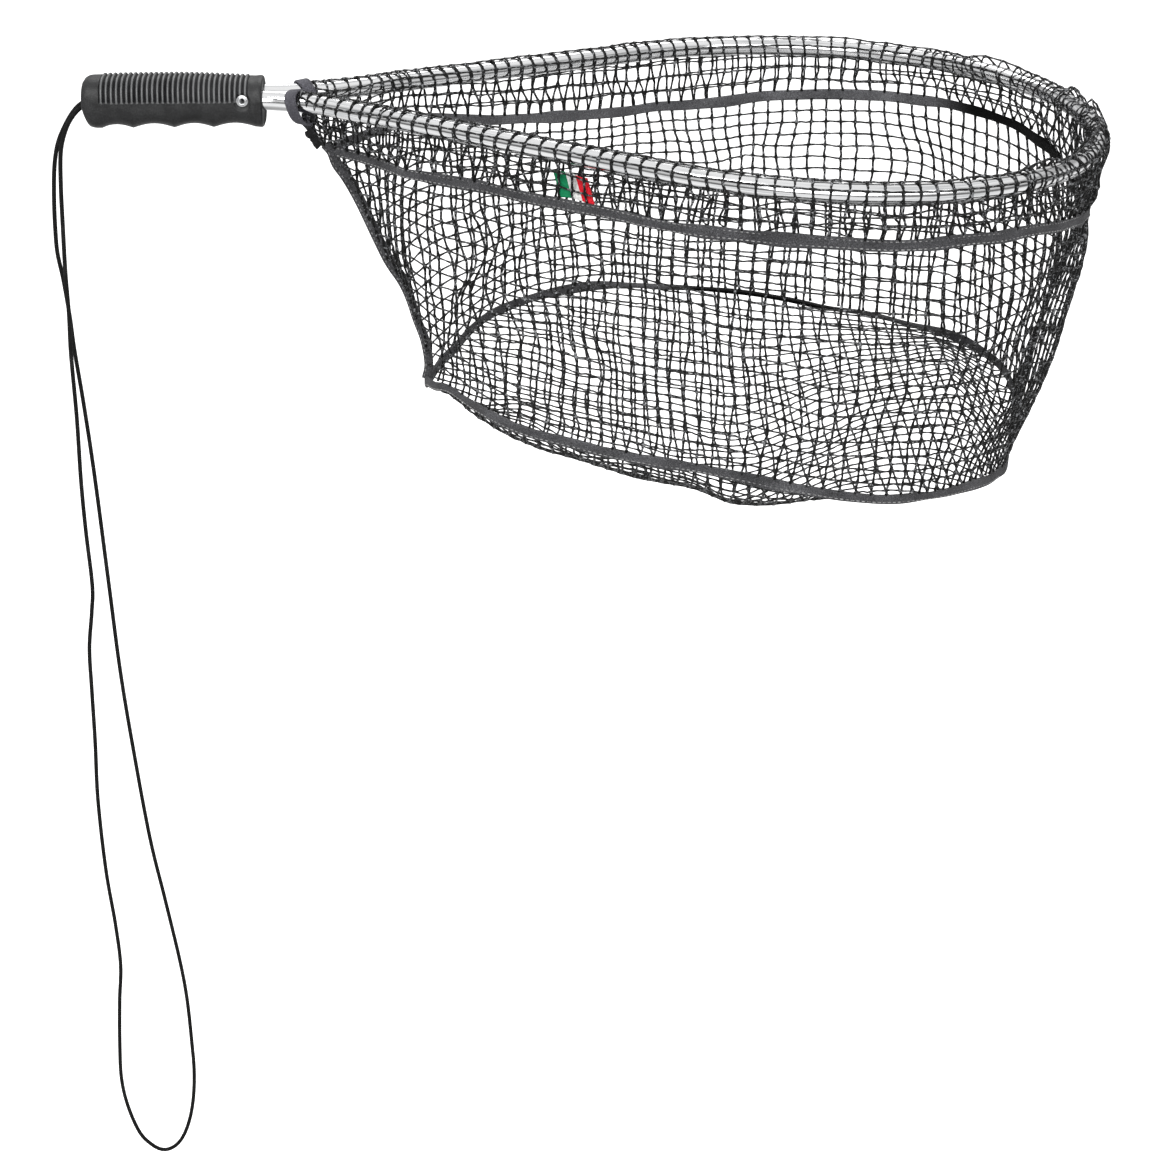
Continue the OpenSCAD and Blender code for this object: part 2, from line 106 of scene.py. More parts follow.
def rise(x, start=0.0, length=1.0):
    """Eases from 0 at start to 1 at start + length."""
    t = np.clip((x - start) / length, 0, 1)
    return t * t * (3 - 2 * t)


def arc_len(p):
    """Length along the rows of p up to each row."""
    return np.r_[0, np.cumsum(np.linalg.norm(np.diff(p, axis=0), axis=1))]


def look_up(at, keys, table):
    """Rows of a three-column table at the values at. keys is the value of each row."""
    return np.stack([np.interp(at, keys, table[:, k]) for k in range(3)], -1)


def resample(p, n):
    """n rows at even spacing along p."""
    s = arc_len(p)
    return look_up(np.linspace(0, s[-1], n), s, p)


def spline_spans(p, count):
    """A smooth curve through the rows of p, as (spans, count, 3), without the last row."""
    ext = np.vstack([2 * p[:1] - p[1:2], p, 2 * p[-1:] - p[-2:-1]])
    a, b, c, d = (row[:, None] for row in (ext[:-3], ext[1:-2], ext[2:-1], ext[3:]))
    f = np.linspace(0, 1, count, endpoint=False)[None, :, None]
    return 0.5 * (2 * b + (c - a) * f + (2 * a - 5 * b + 4 * c - d) * f**2 + (3 * b - a - 3 * c + d) * f**3)


def smooth_line(p, n):
    """n points at even spacing along a smooth curve through the rows of p."""
    p = np.asarray(p, float)
    return resample(np.vstack([spline_spans(p, 24).reshape(-1, 3), p[-1:]]), n)


def grid_quads(rows, cols, wrap_rows=False, wrap_cols=True):
    """Quads of a grid whose points are numbered row by row."""
    i = np.arange(rows if wrap_rows else rows - 1)[:, None]
    j = np.arange(cols if wrap_cols else cols - 1)[None]
    next_i = (i + 1) % rows
    next_j = (j + 1) % cols
    quads = np.stack([i * cols + j, i * cols + next_j, next_i * cols + next_j, next_i * cols + j], -1)
    return quads.reshape(-1, 4)


def tube_quads(n, k):
    """Quads of n rings of k points, with both ends closed."""
    end = np.array([[0, c, c + 1, c + 2] for c in range(1, k - 2, 2)])
    return np.vstack([grid_quads(n, k), end[:, ::-1], end + (n - 1) * k])


def join_rings(a, b):
    """Quads between two rings of point numbers."""
    return np.stack([np.roll(a, -1), a, b, np.roll(b, -1)], 1)


def sweep(p, section, up, closed=False, scale=1.0):
    """Carries a closed section (k, 2) along the points p. up fixes its roll, and scale may vary."""
    n, k = len(p), len(section)
    t = unit(np.roll(p, -1, 0) - np.roll(p, 1, 0) if closed else np.gradient(p, axis=0))
    side = unit(np.cross(t, up))
    top = np.cross(side, t)
    sized = section * np.broadcast_to(scale, n)[:, None, None]
    v = p[:, None] + side[:, None] * sized[..., :1] + top[:, None] * sized[..., 1:]
    quads = grid_quads(n, k, wrap_rows=True) if closed else tube_quads(n, k)
    values = {"along": np.repeat(arc_len(p), k), "around": np.tile(arc_len(section), n)}
    return v.reshape(-1, 3), quads, values


def merge(shapes):
    """Joins shapes that carry the same values."""
    verts, quads, values = zip(*shapes)
    starts = np.cumsum([0] + [len(v) for v in verts[:-1]])
    joined = {key: np.concatenate([each[key] for each in values]) for key in values[0]}
    return np.vstack(verts), np.vstack([q + start for q, start in zip(quads, starts)]), joined


def circle(r, k):
    return np.stack([r * np.cos(angles(k)), r * np.sin(angles(k))], 1)


def rounded_band(t, w, k=4):
    """Anticlockwise section of a tape of thickness t and width w, its edges half round."""
    r = t / 2
    a = np.linspace(0, math.pi, k + 1)
    upper = np.stack([r * np.cos(a), w / 2 - r + r * np.sin(a)], 1)
    between = steps(6)[1:-1, None]
    half = np.vstack([upper, upper[-1] + (-upper[0] - upper[-1]) * between])
    return np.vstack([half, -half])


# ---- smooth seeded variation
def wavy(n, count, amount, seed):
    """n values of a smooth wave with about count swings."""
    knots = np.random.default_rng(seed).normal(0, 1, count + 3)
    t = np.linspace(0, count, n)
    i = t.astype(int)
    f = rise(t - i)
    return amount * (knots[i] * (1 - f) + knots[i + 1] * f)


def blend_four(table, i, j, f, h):
    """Value of a table at row i + f and column j + h."""
    near = table[i, j] * (1 - f) + table[i + 1, j] * f
    far = table[i, j + 1] * (1 - f) + table[i + 1, j + 1] * f
    return near * (1 - h) + far * h


def ripple(down, along, seed, u, w, spare=2):
    """Smooth value at u down and w along, each 0 to 1, with about down by along swings."""
    knots = np.random.default_rng(seed).normal(0, 1, (down + spare, along + spare))
    a, b = np.clip(u, 0, 1) * down, np.clip(w, 0, 1) * along
    i, j = a.astype(int), b.astype(int)
    return blend_four(knots, i, j, rise(a - i), rise(b - j))


# ---- materials
class Nodes:
    """Builds the nodes of a material or a world around its main node."""

    def __init__(self, owner, main):
        owner.use_nodes = True
        self.owner = owner
        self.tree = owner.node_tree
        self.main = self.tree.nodes[main]

    def add(self, kind, inputs=(), **settings):
        """A new node. Its inputs are (name or place, value) pairs."""
        made = self.tree.nodes.new(kind)
        for key, value in settings.items():
            setattr(made, key, value)
        for key, value in inputs:
            self.put(made.inputs[key], value)
        return made

    def put(self, socket, value):
        """Gives a socket a number or a colour, or links an output to it."""
        if isinstance(value, bpy.types.NodeSocket):
            self.tree.links.new(value, socket)
        else:
            socket.default_value = value

    def feed(self, **sockets):
        """Fills sockets of the main node, named with _ for each space."""
        for key, value in sockets.items():
            self.put(self.main.inputs[key.replace("_", " ")], value)

    def attr(self, name):
        return self.add("ShaderNodeAttribute", attribute_name=name).outputs["Fac"]

    def math(self, operation, *values):
        return self.add("ShaderNodeMath", enumerate(values), operation=operation).outputs[0]

    def times(self, a, b):
        return self.math("MULTIPLY", a, b)

    def plus(self, a, b):
        return self.math("ADD", a, b)

    def wave(self, value, pitch):
        """A sine of the value, once over for each pitch."""
        return self.math("SINE", self.times(value, 2 * math.pi / pitch))

    def noise(self, scale, detail, rough, coords=None):
        coords = coords or self.add("ShaderNodeTexCoord").outputs["Object"]
        inputs = [("Vector", coords), ("Scale", scale), ("Detail", detail), ("Roughness", rough)]
        return self.add("ShaderNodeTexNoise", inputs).outputs["Fac"]

    def ramp(self, fac, stops, interpolation="LINEAR"):
        """Colour at fac, between stops of (position, colour)."""
        made = self.add("ShaderNodeValToRGB", [("Fac", fac)])
        made.color_ramp.interpolation = interpolation
        elements = made.color_ramp.elements
        while len(elements) < len(stops):
            elements.new(0.5)
        for element, (position, colour) in zip(elements, stops):
            element.position = position
            element.color = (*colour, 1)
        return made.outputs["Color"]

    def greys(self, fac, *stops):
        """Grey at fac, between stops of (position, value)."""
        return self.ramp(fac, [(position, grey(value)) for position, value in stops])

    def mix(self, fac, a, b, blend="MIX"):
        inputs = [(0, fac), (6, a), (7, b)]
        return self.add("ShaderNodeMix", inputs, data_type="RGBA", blend_type=blend).outputs[2]

    def bump(self, height, strength, distance):
        """Adds a bump and hands back the finished material."""
        inputs = [("Strength", strength), ("Distance", distance), ("Height", height)]
        self.feed(Normal=self.add("ShaderNodeBump", inputs).outputs["Normal"])
        return self.owner


def grey(value, tint=(1, 1, 1)):
    return tuple(value * t for t in tint)


def material(name, colour, rough, metal=0.0, **sockets):
    made = Nodes(bpy.data.materials.new(name), "Principled BSDF")
    made.feed(Base_Color=(*colour, 1), Roughness=rough, Metallic=metal, **sockets)
    return made


def rubber_material():
    """Moulded rubber: black in the furrows, with painted highlights grey on the rib crests and along the
    parting line.
    """
    m = material("grip_rubber", grey(0.5), 0.5)
    rib_highlight_and_shade = m.attr("rib_highlight_and_shade")
    fine = m.noise(1400, 4, 0.6)
    broad = m.noise(60, 3, 0.55)
    # painted highlight: the rib crests and the parting line are painted paler, and the same value lowers the
    # specular in the furrows as painted shade
    painted_light = m.times(m.math("POWER", rib_highlight_and_shade, 2.2), 0.44)
    tone = m.plus(m.plus(m.times(fine, 0.5), m.times(broad, 0.4)), painted_light)
    stops = [(0.2, grey(0.0015)), (0.4, (0.009, 0.0092, 0.0098)), (0.56, (0.032, 0.0324, 0.0334)),
             (0.72, (0.06, 0.061, 0.063)), (0.85, (0.12, 0.121, 0.124))]
    m.feed(Base_Color=m.ramp(tone, stops),
           Roughness=m.greys(broad, (0.3, 0.38), (0.7, 0.55)),
           Specular_IOR_Level=m.math("MULTIPLY_ADD", rib_highlight_and_shade, 0.38, 0.4))
    return m.bump(fine, strength=0.35, distance=0.0003)


def tube_material():
    """Polished aluminium with faint streaks from the drawing die."""
    m = material("polished_aluminium", (0.95, 0.955, 0.96), 0.1, 1.0)
    axes = enumerate([("ring_x", 0.5), ("ring_y", 0.5), ("along", 0.012)])
    place = m.add("ShaderNodeCombineXYZ", [(k, m.times(m.attr(name), rate)) for k, (name, rate) in axes])
    streak = m.noise(1.6, 3, 0.6, place.outputs[0])
    stops = [(0.38, (0.66, 0.67, 0.68)), (0.46, (0.88, 0.885, 0.895)), (0.6, (0.97, 0.975, 0.98))]
    m.feed(Base_Color=m.ramp(streak, stops), Roughness=m.greys(streak, (0.3, 0.07), (0.75, 0.16)))
    return m.bump(streak, strength=0.03, distance=0.0002)


def satin_material():
    m = material("satin_aluminium", (0.8, 0.805, 0.81), 0.3, 1.0)
    grain = m.noise(900, 3, 0.6)
    m.feed(Base_Color=m.ramp(grain, [(0.3, (0.62, 0.63, 0.64)), (0.7, (0.88, 0.88, 0.89))]),
           Roughness=m.greys(grain, (0.3, 0.24), (0.7, 0.42)))
    return m.owner


def twine_material(name, dark, light, glint_from):
    """Twisted twine: near-black, with painted glints that are paler where the noise passes the given
    threshold.
    """
    m = material(name, grey(dark), 0.5, Specular_IOR_Level=0.26)
    twist = m.math("SINE", m.plus(m.times(m.attr("along"), 3.4), m.times(m.attr("around"), 2.0)))
    tone = m.plus(m.noise(400, 2, 0.6), m.times(twist, 0.06))
    # painted glints: the pale stops paint highlights on the twine
    stops = [(glint_from - 0.1, grey(dark)), (glint_from + 0.02, grey(dark * 2)),
             (glint_from + 0.11, grey(light, (0.97, 0.99, 1.03)))]
    m.feed(Base_Color=m.ramp(tone, stops))
    return m.bump(twist, strength=0.5, distance=0.0002)


def tape_material(name, dark, light, tint=(1, 1, 1.06)):
    """Woven binding with fine ribs and a heathered yarn, darkened by shade."""
    m = material(name, grey(dark), 0.75, Sheen_Weight=0.06, Sheen_Roughness=0.5)
    weave = m.times(m.wave(m.attr("along"), 0.7), m.wave(m.attr("around"), 0.9))
    yarn = m.plus(m.times(m.noise(1500, 2, 0.7), 0.7), m.times(m.noise(45, 3, 0.5), 0.3))
    stops = [(0.4, grey(dark * 0.7, tint)), (0.52, grey((dark + light) / 2.4, tint)),
             (0.6, grey(light * 0.8, tint)), (0.7, grey(light * 1.7, tint))]
    lit = m.ramp(m.plus(m.times(weave, 0.05), yarn), stops)
    shade = m.attr("shade")
    m.feed(Base_Color=m.mix(shade, lit, (0.0015, 0.0015, 0.0016, 1)),
           Specular_IOR_Level=m.math("MULTIPLY_ADD", shade, -0.25, 0.25))
    return m.bump(weave, strength=0.5, distance=0.0003)


def thread_material():
    m = material("thread", grey(0.2), 0.6)
    m.feed(Base_Color=m.greys(m.noise(700, 2, 0.5), (0.3, 0.1), (0.65, 0.42)))
    return m.owner


def cord_material():
    """Braided cover: two sets of diagonal yarns."""
    m = material("elastic_cord_cover", grey(0.02), 0.6, Specular_IOR_Level=0.2)
    per_yarn = 2 * math.pi / 0.94
    lengthways = m.times(m.attr("along"), 0.8 * per_yarn)
    sideways = m.times(m.attr("around"), per_yarn)
    yarns = [m.math("SINE", m.math(way, lengthways, sideways)) for way in ("ADD", "SUBTRACT")]
    braid = m.math("MAXIMUM", *yarns)
    tone = m.plus(m.times(braid, 0.18), m.noise(120, 3, 0.6))
    m.feed(Base_Color=m.greys(tone, (0.4, 0.002), (0.7, 0.007), (0.9, 0.03)))
    return m.bump(braid, strength=0.6, distance=0.0003)


def tab_material():
    """Plain three-stripe woven ribbon."""
    m = material("striped_ribbon", grey(0.8), 0.7, Specular_IOR_Level=0.3)
    stops = [(0.0, (0.0, 0.26, 0.1)), (0.34, (0.92, 0.92, 0.9)), (0.66, (0.9, 0.012, 0.03))]
    stripes = m.ramp(m.attr("stripe"), stops, "CONSTANT")
    ribs = m.wave(m.attr("along"), 0.55)
    tone = m.greys(m.plus(m.noise(500, 3, 0.6), m.times(ribs, 0.08)), (0.3, 0.62), (0.65, 1.0))
    m.feed(Base_Color=m.mix(1.0, stripes, tone, "MULTIPLY"))
    return m.bump(ribs, strength=0.5, distance=0.0002)


RUBBER = rubber_material()
TUBE = tube_material()
SATIN = satin_material()
TWINE_V = twine_material("twine_upright", 0.002, 0.26, 0.55)
TWINE_H = twine_material("twine_level", 0.007, 0.22, 0.53)
TAPE = tape_material("binding_tape_weave", 0.068, 0.21)
COLLAR = tape_material("collar_tape_weave", 0.06, 0.16, (1, 0.98, 1.15))
BLACK = tape_material("black_tape_weave", 0.003, 0.015)
THREAD = thread_material()
CORD = cord_material()
TAB = tab_material()

# ---- lanyard
CORD_D = 2.8
CORD_ROUTE = [
    (-46.5, 1.8, -2.4), (-52, 1.8, -2.4), (-58, 2, -3.2), (-64, 2, -8.5), (-70, 2, -17.5),
    (-75.5, 2.5, -29), (-79, 3, -44), (-81, 3, -64), (-82, 3, -84), (-82, 3, -100),
    (-80, 4, -118), (-78, 4, -143), (-77, 4, -165),
    (-74, 4, -205), (-71, 3, -254), (-68, 3, -330), (-65, 2, -400), (-60, 1, -466), (-54, 0, -530),
    (-47, 0, -580), (-40, 0, -632), (-37, 0, -666), (-36, 0, -706), (-36, 0, -729), (-38, 0, -752),
    (-42, 0, -772), (-48, 0, -788), (-55, 0, -797), (-63, 0, -800), (-71, 0, -796), (-80, 0, -784),
    (-87, 0, -760), (-90, 0, -735), (-89, 0, -705), (-86, 0, -665), (-83, 0, -635), (-84, 0, -600),
    (-87, -1, -554), (-88, -1, -497), (-86, -2, -450), (-85, -2, -410), (-84, -2, -378),
    (-80, -3, -350), (-78, -3, -330), (-79, -3, -290), (-79, -4, -254), (-78, -4, -210), (-78, -4, -165),
    (-77, -4, -138), (-77, -3, -110), (-76, -3, -80), (-75, -3, -55), (-73.2, -2.5, -33),
    (-69, -2, -19), (-63.5, -2, -10), (-57.5, -2, -4.6), (-52, -1.8, -3.6), (-46.5, -1.8, -3.6)]
cord_line = smooth_line(CORD_ROUTE, 900)
cord_shape = sweep(cord_line, circle(CORD_D / 2, 12), (0, 1, 0.02))
lanyard = add_piece("lanyard", cord_shape, CORD, ["lanyard_cord"])

# ---- hoop outline, as in the CAD
HOOP_X0 = 57.5
TUBE_R = 6.0
TUBE_WALL = 1.2
TUBE_Y = 9.0
TUBE_IN = 88.0
HALF_W = 186.0
WIDEST_X = 345.5
SIDE_A = math.radians(33.5)
NECK_R = 90.0
SHOULDER_R = 191.0
TOE_R = 205.0
TOE_A = math.radians(35)
DROOP = math.radians(2.1)
CORNER_R = (HALF_W - TOE_R * math.sin(TOE_A)) / (1 - math.sin(TOE_A))
SHOULDER_X = WIDEST_X - SHOULDER_R * math.sin(SIDE_A)
SHOULDER_Y = HALF_W - SHOULDER_R * (1 - math.cos(SIDE_A))
APEX_X = SHOULDER_X - (SHOULDER_Y - TUBE_Y) / math.tan(SIDE_A)
NECK_TANGENT = NECK_R * math.tan(SIDE_A / 2)
NECK_X = APEX_X - NECK_TANGENT
SIDE_X = APEX_X + NECK_TANGENT * math.cos(SIDE_A)
SIDE_Y = TUBE_Y + NECK_TANGENT * math.sin(SIDE_A)
TOE_X = WIDEST_X - (TOE_R - CORNER_R) * math.cos(TOE_A)
NECK_LEN = NECK_R * SIDE_A
SIDE_LEN = math.hypot(SHOULDER_X - SIDE_X, SHOULDER_Y - SIDE_Y)
SHOULDER_LEN = SHOULDER_R * SIDE_A
CORNER_LEN = CORNER_R * (math.pi / 2 - TOE_A)
TOE_LEN = TOE_R * TOE_A
HALF_LEN = NECK_LEN + SIDE_LEN + SHOULDER_LEN + CORNER_LEN + TOE_LEN
UP = np.array([math.sin(DROOP), 0, math.cos(DROOP)])


def outline(s):
    """(x, y, heading) in the hoop's plane at lengths s: leg, neck, side, shoulder, corner and toe."""
    neck = np.clip(s, 0, NECK_LEN) / NECK_R
    side = s - NECK_LEN
    shoulder = SIDE_A - (side - SIDE_LEN) / SHOULDER_R
    corner = (side - SIDE_LEN - SHOULDER_LEN) / CORNER_R
    toe = (HALF_LEN - s) / TOE_R
    past = [s > HALF_LEN - TOE_LEN, corner > 0, side > SIDE_LEN, side > 0, s > 0]
    x = [TOE_X + TOE_R * np.cos(toe), WIDEST_X + CORNER_R * np.sin(corner),
         WIDEST_X - SHOULDER_R * np.sin(shoulder), SIDE_X + side * math.cos(SIDE_A),
         NECK_X + NECK_R * np.sin(neck)]
    y = [TOE_R * np.sin(toe), HALF_W - CORNER_R * (1 - np.cos(corner)),
         HALF_W - SHOULDER_R * (1 - np.cos(shoulder)), SIDE_Y + side * math.sin(SIDE_A),
         TUBE_Y + NECK_R * (1 - np.cos(neck))]
    heading = [toe - math.pi / 2, -corner, shoulder, np.full_like(s, SIDE_A), neck]
    return np.select(past, x, NECK_X + s), np.select(past, y, TUBE_Y), np.select(past, heading, 0.0)


def to_world(x, y, z):
    """From the hoop's drooping plane to the frame."""
    c, s = math.cos(DROOP), math.sin(DROOP)
    return np.stack([HOOP_X0 + x * c + z * s, y + 0 * x, -x * s + z * c], -1)


def hoop_pt(s, side):
    """Centre of the tube at lengths s. side is -1 for the near half and 1 for the far half."""
    x, y, _ = outline(s)
    return to_world(x, side * y, 0 * x)


def hoop_out(s, side):
    """Direction out of the hoop, in its plane."""
    _, _, heading = outline(s)
    return to_world(-np.sin(heading), side * np.cos(heading), 0 * heading) - (HOOP_X0, 0, 0)


# ---- hoop tube
def hoop_shape(sides=40):
    """One bent tube with an open bore, from the near leg to the far one."""
    s = np.concatenate([np.linspace(-TUBE_IN, 0, 12)[:-1], np.linspace(0, HALF_LEN, 190)])
    path = np.vstack([hoop_pt(s, -1), hoop_pt(s[::-1][1:], 1)])
    verts, _, values = merge([sweep(path, circle(r, sides), UP) for r in (TUBE_R, TUBE_R - TUBE_WALL)])
    bore = len(path) * sides
    wall_quads = grid_quads(len(path), sides)
    first = np.arange(sides)
    last = first + bore - sides
    rims = [join_rings(first, first + bore), join_rings(last + bore, last)]
    quads = np.vstack([wall_quads, wall_quads[:, ::-1] + bore] + rims)
    ring_x, ring_y = np.tile(circle(TUBE_R, sides), (2 * len(path), 1)).T
    return verts, quads, {"along": values["along"], "ring_x": ring_x, "ring_y": ring_y}


add_piece("hoop", hoop_shape(), TUBE, ["hoop_tube"])

# ---- grip
GRIP_X0 = -56.0
GRIP_X1 = 54.6
GRIP_W = 35.0
GRIP_TOP = 13.9
GRIP_LOW = 17.0
GRIP_R = 12.5
CROWN_H = 0.55
TOP_FALL = 1.5
TOP_FALL_X = 55
REAR_ROUND = 3.3
FRONT_ROUND = 0.9
FLARE_H = 0.3
BUMP_X = (-46.5, -26.2, -0.8, 23.4, 49.5)
GROOVE_D = 2.5
RIB_N = 29
RIB_PITCH = 3.14
RIB_H = 0.95
RIB_T = 2.1
RIB_X = -43.4
VALLEY_D = 0.25
PART_Z = 0.9
PART_LINE_H = 0.18
RIVET_X = 42.5
RIVET_Z = 1.5
DIMPLE_R = 5.6
DIMPLE_D = 1.3
REAR_CUT_A = math.radians(12.5)
CAP_SIZES = (0.985, 0.93, 0.7, 0.45, 0.2, 0.02)
REAR_CAP_X = (-0.15, -0.2, -0.2, -0.2, -0.2, -0.2)
FRONT_CAP_X = (0.0, -0.6, -1.0, -1.0, -1.0, -1.0)


def quarter_round(t):
    """Depth of a quarter circle: 1 where t is 0, and 0 where t is 1 or more."""
    return 1 - math.sqrt(max(0.0, 1 - (1 - float(np.clip(t, 0, 1))) ** 2))


def finger_groove(x):
    """Depth of the finger grooves at x."""
    for start, end in zip(BUMP_X, BUMP_X[1:]):
        if start < x < end:
            f = (x - (start + end) / 2) / ((end - start) / 2)
            return GROOVE_D * (1 - f * f) ** 1.2 * min(1, (end - start) / 24)
    return 0.0


def grip_ring(x, sides):
    """The grip's section at x, without its ribs, as evenly spaced points."""
    rear = REAR_ROUND * quarter_round((x - GRIP_X0) / 6)
    front = FRONT_ROUND * quarter_round((GRIP_X1 - x) / 1.6)
    flare = FLARE_H * math.exp(-((x - GRIP_X1 + 2.0) / 1.8) ** 2)
    crown = CROWN_H * ((x - 2) / 57.5) ** 2
    top = GRIP_TOP - crown - rear - TOP_FALL * rise(x, 0, TOP_FALL_X) + flare - front
    low = GRIP_LOW - finger_groove(x) - rear * 0.4 + flare * 0.8 - front
    half = GRIP_W / 2 - rear * 0.6 + flare - front
    r = min(GRIP_R, half - 0.5)
    a = np.linspace(0, 2 * math.pi, sides, endpoint=False)
    across = np.where(np.abs(np.cos(a)) < 1e-6, 0, np.cos(a))
    y = np.sign(across) * (half - r) + r * across
    z = np.where(np.sin(a) >= 0, top - r, r - low) + r * np.sin(a)
    ring = np.stack([np.full_like(a, x), y, z], 1)
    return resample(np.vstack([ring, ring[:1]]), sides + 1)[:-1]


def grip_surface(rings=461, sides=132):
    """Points (rings, sides, 3) over the grip, and the painted light at each: a painted highlight of 1 on a
    rib and along the parting line, painted shade below 0 between.
    """
    x = np.linspace(GRIP_X0, GRIP_X1, rings)
    v = np.array([grip_ring(at, sides) for at in x])
    z = v[..., 2]
    out = v * (0, 1, 1)
    out[..., 2] -= np.clip(z, -4, 1)
    rib_x = RIB_X + RIB_PITCH * np.arange(RIB_N)
    u = (x[:, None] - rib_x) / (RIB_T / 2)
    rib = np.sqrt(np.clip(1 - u * u, 0, None)).max(1)[:, None]
    ribbed = ((x > rib_x[0] - 1.6) & (x < rib_x[-1] + 1.6)).astype(float)[:, None]
    valley = ribbed * (1 - rib)
    lip = rise(z, PART_Z - 0.7, 1.4)
    # the moulding line runs along both sides, at the foot of the ribs
    line = np.exp(-((z - PART_Z) / 0.35) ** 2) * PART_LINE_H * (1 - ribbed * 0.5)
    v = v + unit(out) * (lip * (rib * RIB_H - valley * VALLEY_D) + line)[..., None]
    from_rivet = np.hypot(v[..., 0] - RIVET_X, v[..., 2] - RIVET_Z + 0.8)
    dimple = (1 - rise(from_rivet, DIMPLE_R - 1.4, 1.4)) * DIMPLE_D * (np.abs(v[..., 1]) > 12)
    v[..., 1] -= np.sign(v[..., 1]) * dimple
    # the rear face slants forwards towards the underside
    cut = np.clip(-2.0 - v[..., 2], 0, None) * math.tan(REAR_CUT_A)
    v[..., 0] += cut * (1 - rise(v[..., 0], -56.0, 16))
    # painted highlight along the parting line, stronger on the ribs
    foot = np.exp(-((z - PART_Z) / 0.4) ** 2) * (0.5 + 0.8 * rib) * np.maximum(ribbed, 0.25)
    return v, lip * (rib - valley) + foot


def grip_shape():
    """The grip's surface, closed by a domed rear end and a recessed front end."""
    surface, painted_light = grip_surface()
    rings, sides = surface.shape[:2]
    verts = [surface.reshape(-1, 3)]
    quads = [grid_quads(rings, sides)]
    count = rings * sides
    a = np.arange(sides // 2 - 1)
    for end, shifts in ((0, REAR_CAP_X), (rings - 1, FRONT_CAP_X)):
        ring = surface[end]
        middle = ring.mean(0)
        cap = np.vstack([middle + (ring - middle) * size + (dx, 0, 0) for size, dx in zip(CAP_SIZES, shifts)])
        added = count + np.arange(len(cap)).reshape(-1, sides)
        rows = np.vstack([end * sides + np.arange(sides), added])
        last = rows[-1]
        disc = np.stack([last[sides - 1 - a], last[sides - 2 - a], last[a + 1], last[a]], 1)
        faces = np.vstack([join_rings(p, q) for p, q in zip(rows, rows[1:])] + [disc])
        quads.append(faces if end == 0 else faces[:, ::-1])
        verts.append(cap)
        count += len(cap)
    # painted highlight and shade of the ribs, and none on the end caps
    rib_highlight_and_shade = np.zeros(count)
    rib_highlight_and_shade[: painted_light.size] = painted_light.ravel()
    return np.vstack(verts), np.vstack(quads)[:, ::-1], {"rib_highlight_and_shade": rib_highlight_and_shade}


add_piece("grip_cover", grip_shape(), RUBBER, ["grip"])

# ---- rivet, both flanges in one turned piece
# half of the profile, as (distance from the middle, radius), out by the bore and back by the shank
RIVET_HALF = [(0, 1.4), (15.9, 1.4), (16.9, 1.5), (17.35, 1.75), (17.5, 2.1), (17.42, 2.45), (17.15, 2.7),
              (16.85, 2.78), (16.8, 2.86), (16.78, 3.35), (16.65, 3.55), (16.3, 3.6), (16.1, 3.45),
              (16.1, 2.3), (15.5, 2.2), (0, 2.2)]


def turned_y(half_profile, x, z, sides=64):
    """Turns a half profile and its mirror image about a line along Y."""
    profile = np.array(half_profile + [(-y, r) for y, r in half_profile[::-1][1:-1]], float)
    a = angles(sides)
    r = profile[:, None, 1]
    v = np.stack([x + r * np.cos(a), np.repeat(profile[:, :1], sides, 1), z + r * np.sin(a)], -1)
    return v.reshape(-1, 3), grid_quads(len(profile), sides, wrap_rows=True), {}


rivet_shape = turned_y(RIVET_HALF, RIVET_X, RIVET_Z)
add_piece("rivet_eyelet", rivet_shape, SATIN, ["rivet", "rivet_washers"])

# ---- bag outline, as in the CAD
HEEL_X = 38.0
HEEL_S = 58.0
HEEL_PULL = 14
SEAM_DROP = 29.0
SEAM_W = 7.4
BIND_W = 6.6
FLOOR_FRONT = [(150, 0, -189), (165, -45, -177), (203, -103, -180), (258, -125, -189), (318, -136, -197),
               (378, -140, -209), (428, -138, -218), (468, -118, -223), (502, -84, -229), (524, -44, -238),
               (535, -5, -240)]
FLOOR_BACK = [(150, 0, -189), (165, 50, -186), (195, 105, -177), (258, 134, -168), (320, 143, -172),
              (376, 147, -179), (430, 147, -189), (490, 136, -199), (532, 110, -208), (548, 60, -218),
              (535, -5, -240)]
HEEL_ROUTE = [(95, 0, -35), (98, 0, -43), (104, 0, -52), (112, 0, -68), (127, 0, -103), (138, 0, -122),
              (145, 0, -145), (150, 0, -160), (152, 0, -176), (150, 0, -186)]
TOE_ROUTE = [(571, 0, -76), (570, 0, -86), (566, 0, -102), (558, 0, -124), (550, 0, -152), (543, 0, -188),
             (538, -2, -215), (536, -4, -234)]
# how far the seam tape hangs below SEAM_DROP, from heel (0) to toe (1)
DIP_T = (0, 0.03, 0.06, 0.15, 0.24, 0.34, 0.44, 0.53, 0.6, 0.68, 0.75, 0.83, 0.9, 1)
DIP_FRONT = (4.3, 3.9, 3.4, 1.2, 2, 1.7, 0.4, -0.7, 0.9, -0.5, 1, 7, 14, 24)
DIP_BACK = (4.3, -5, -5, 1.5, 6.9, 9.7, 10.8, 6, 2.2, -0.9, -2.3, -1, 3, 24)


def seam_dip(t, side):
    """The dip at t, softened by a running mean."""
    fine = steps(200)
    dips = np.interp(fine, DIP_T, DIP_FRONT if side < 0 else DIP_BACK)
    return np.interp(t, fine, np.convolve(np.pad(dips, 6, "edge"), np.ones(13) / 13, "valid"))


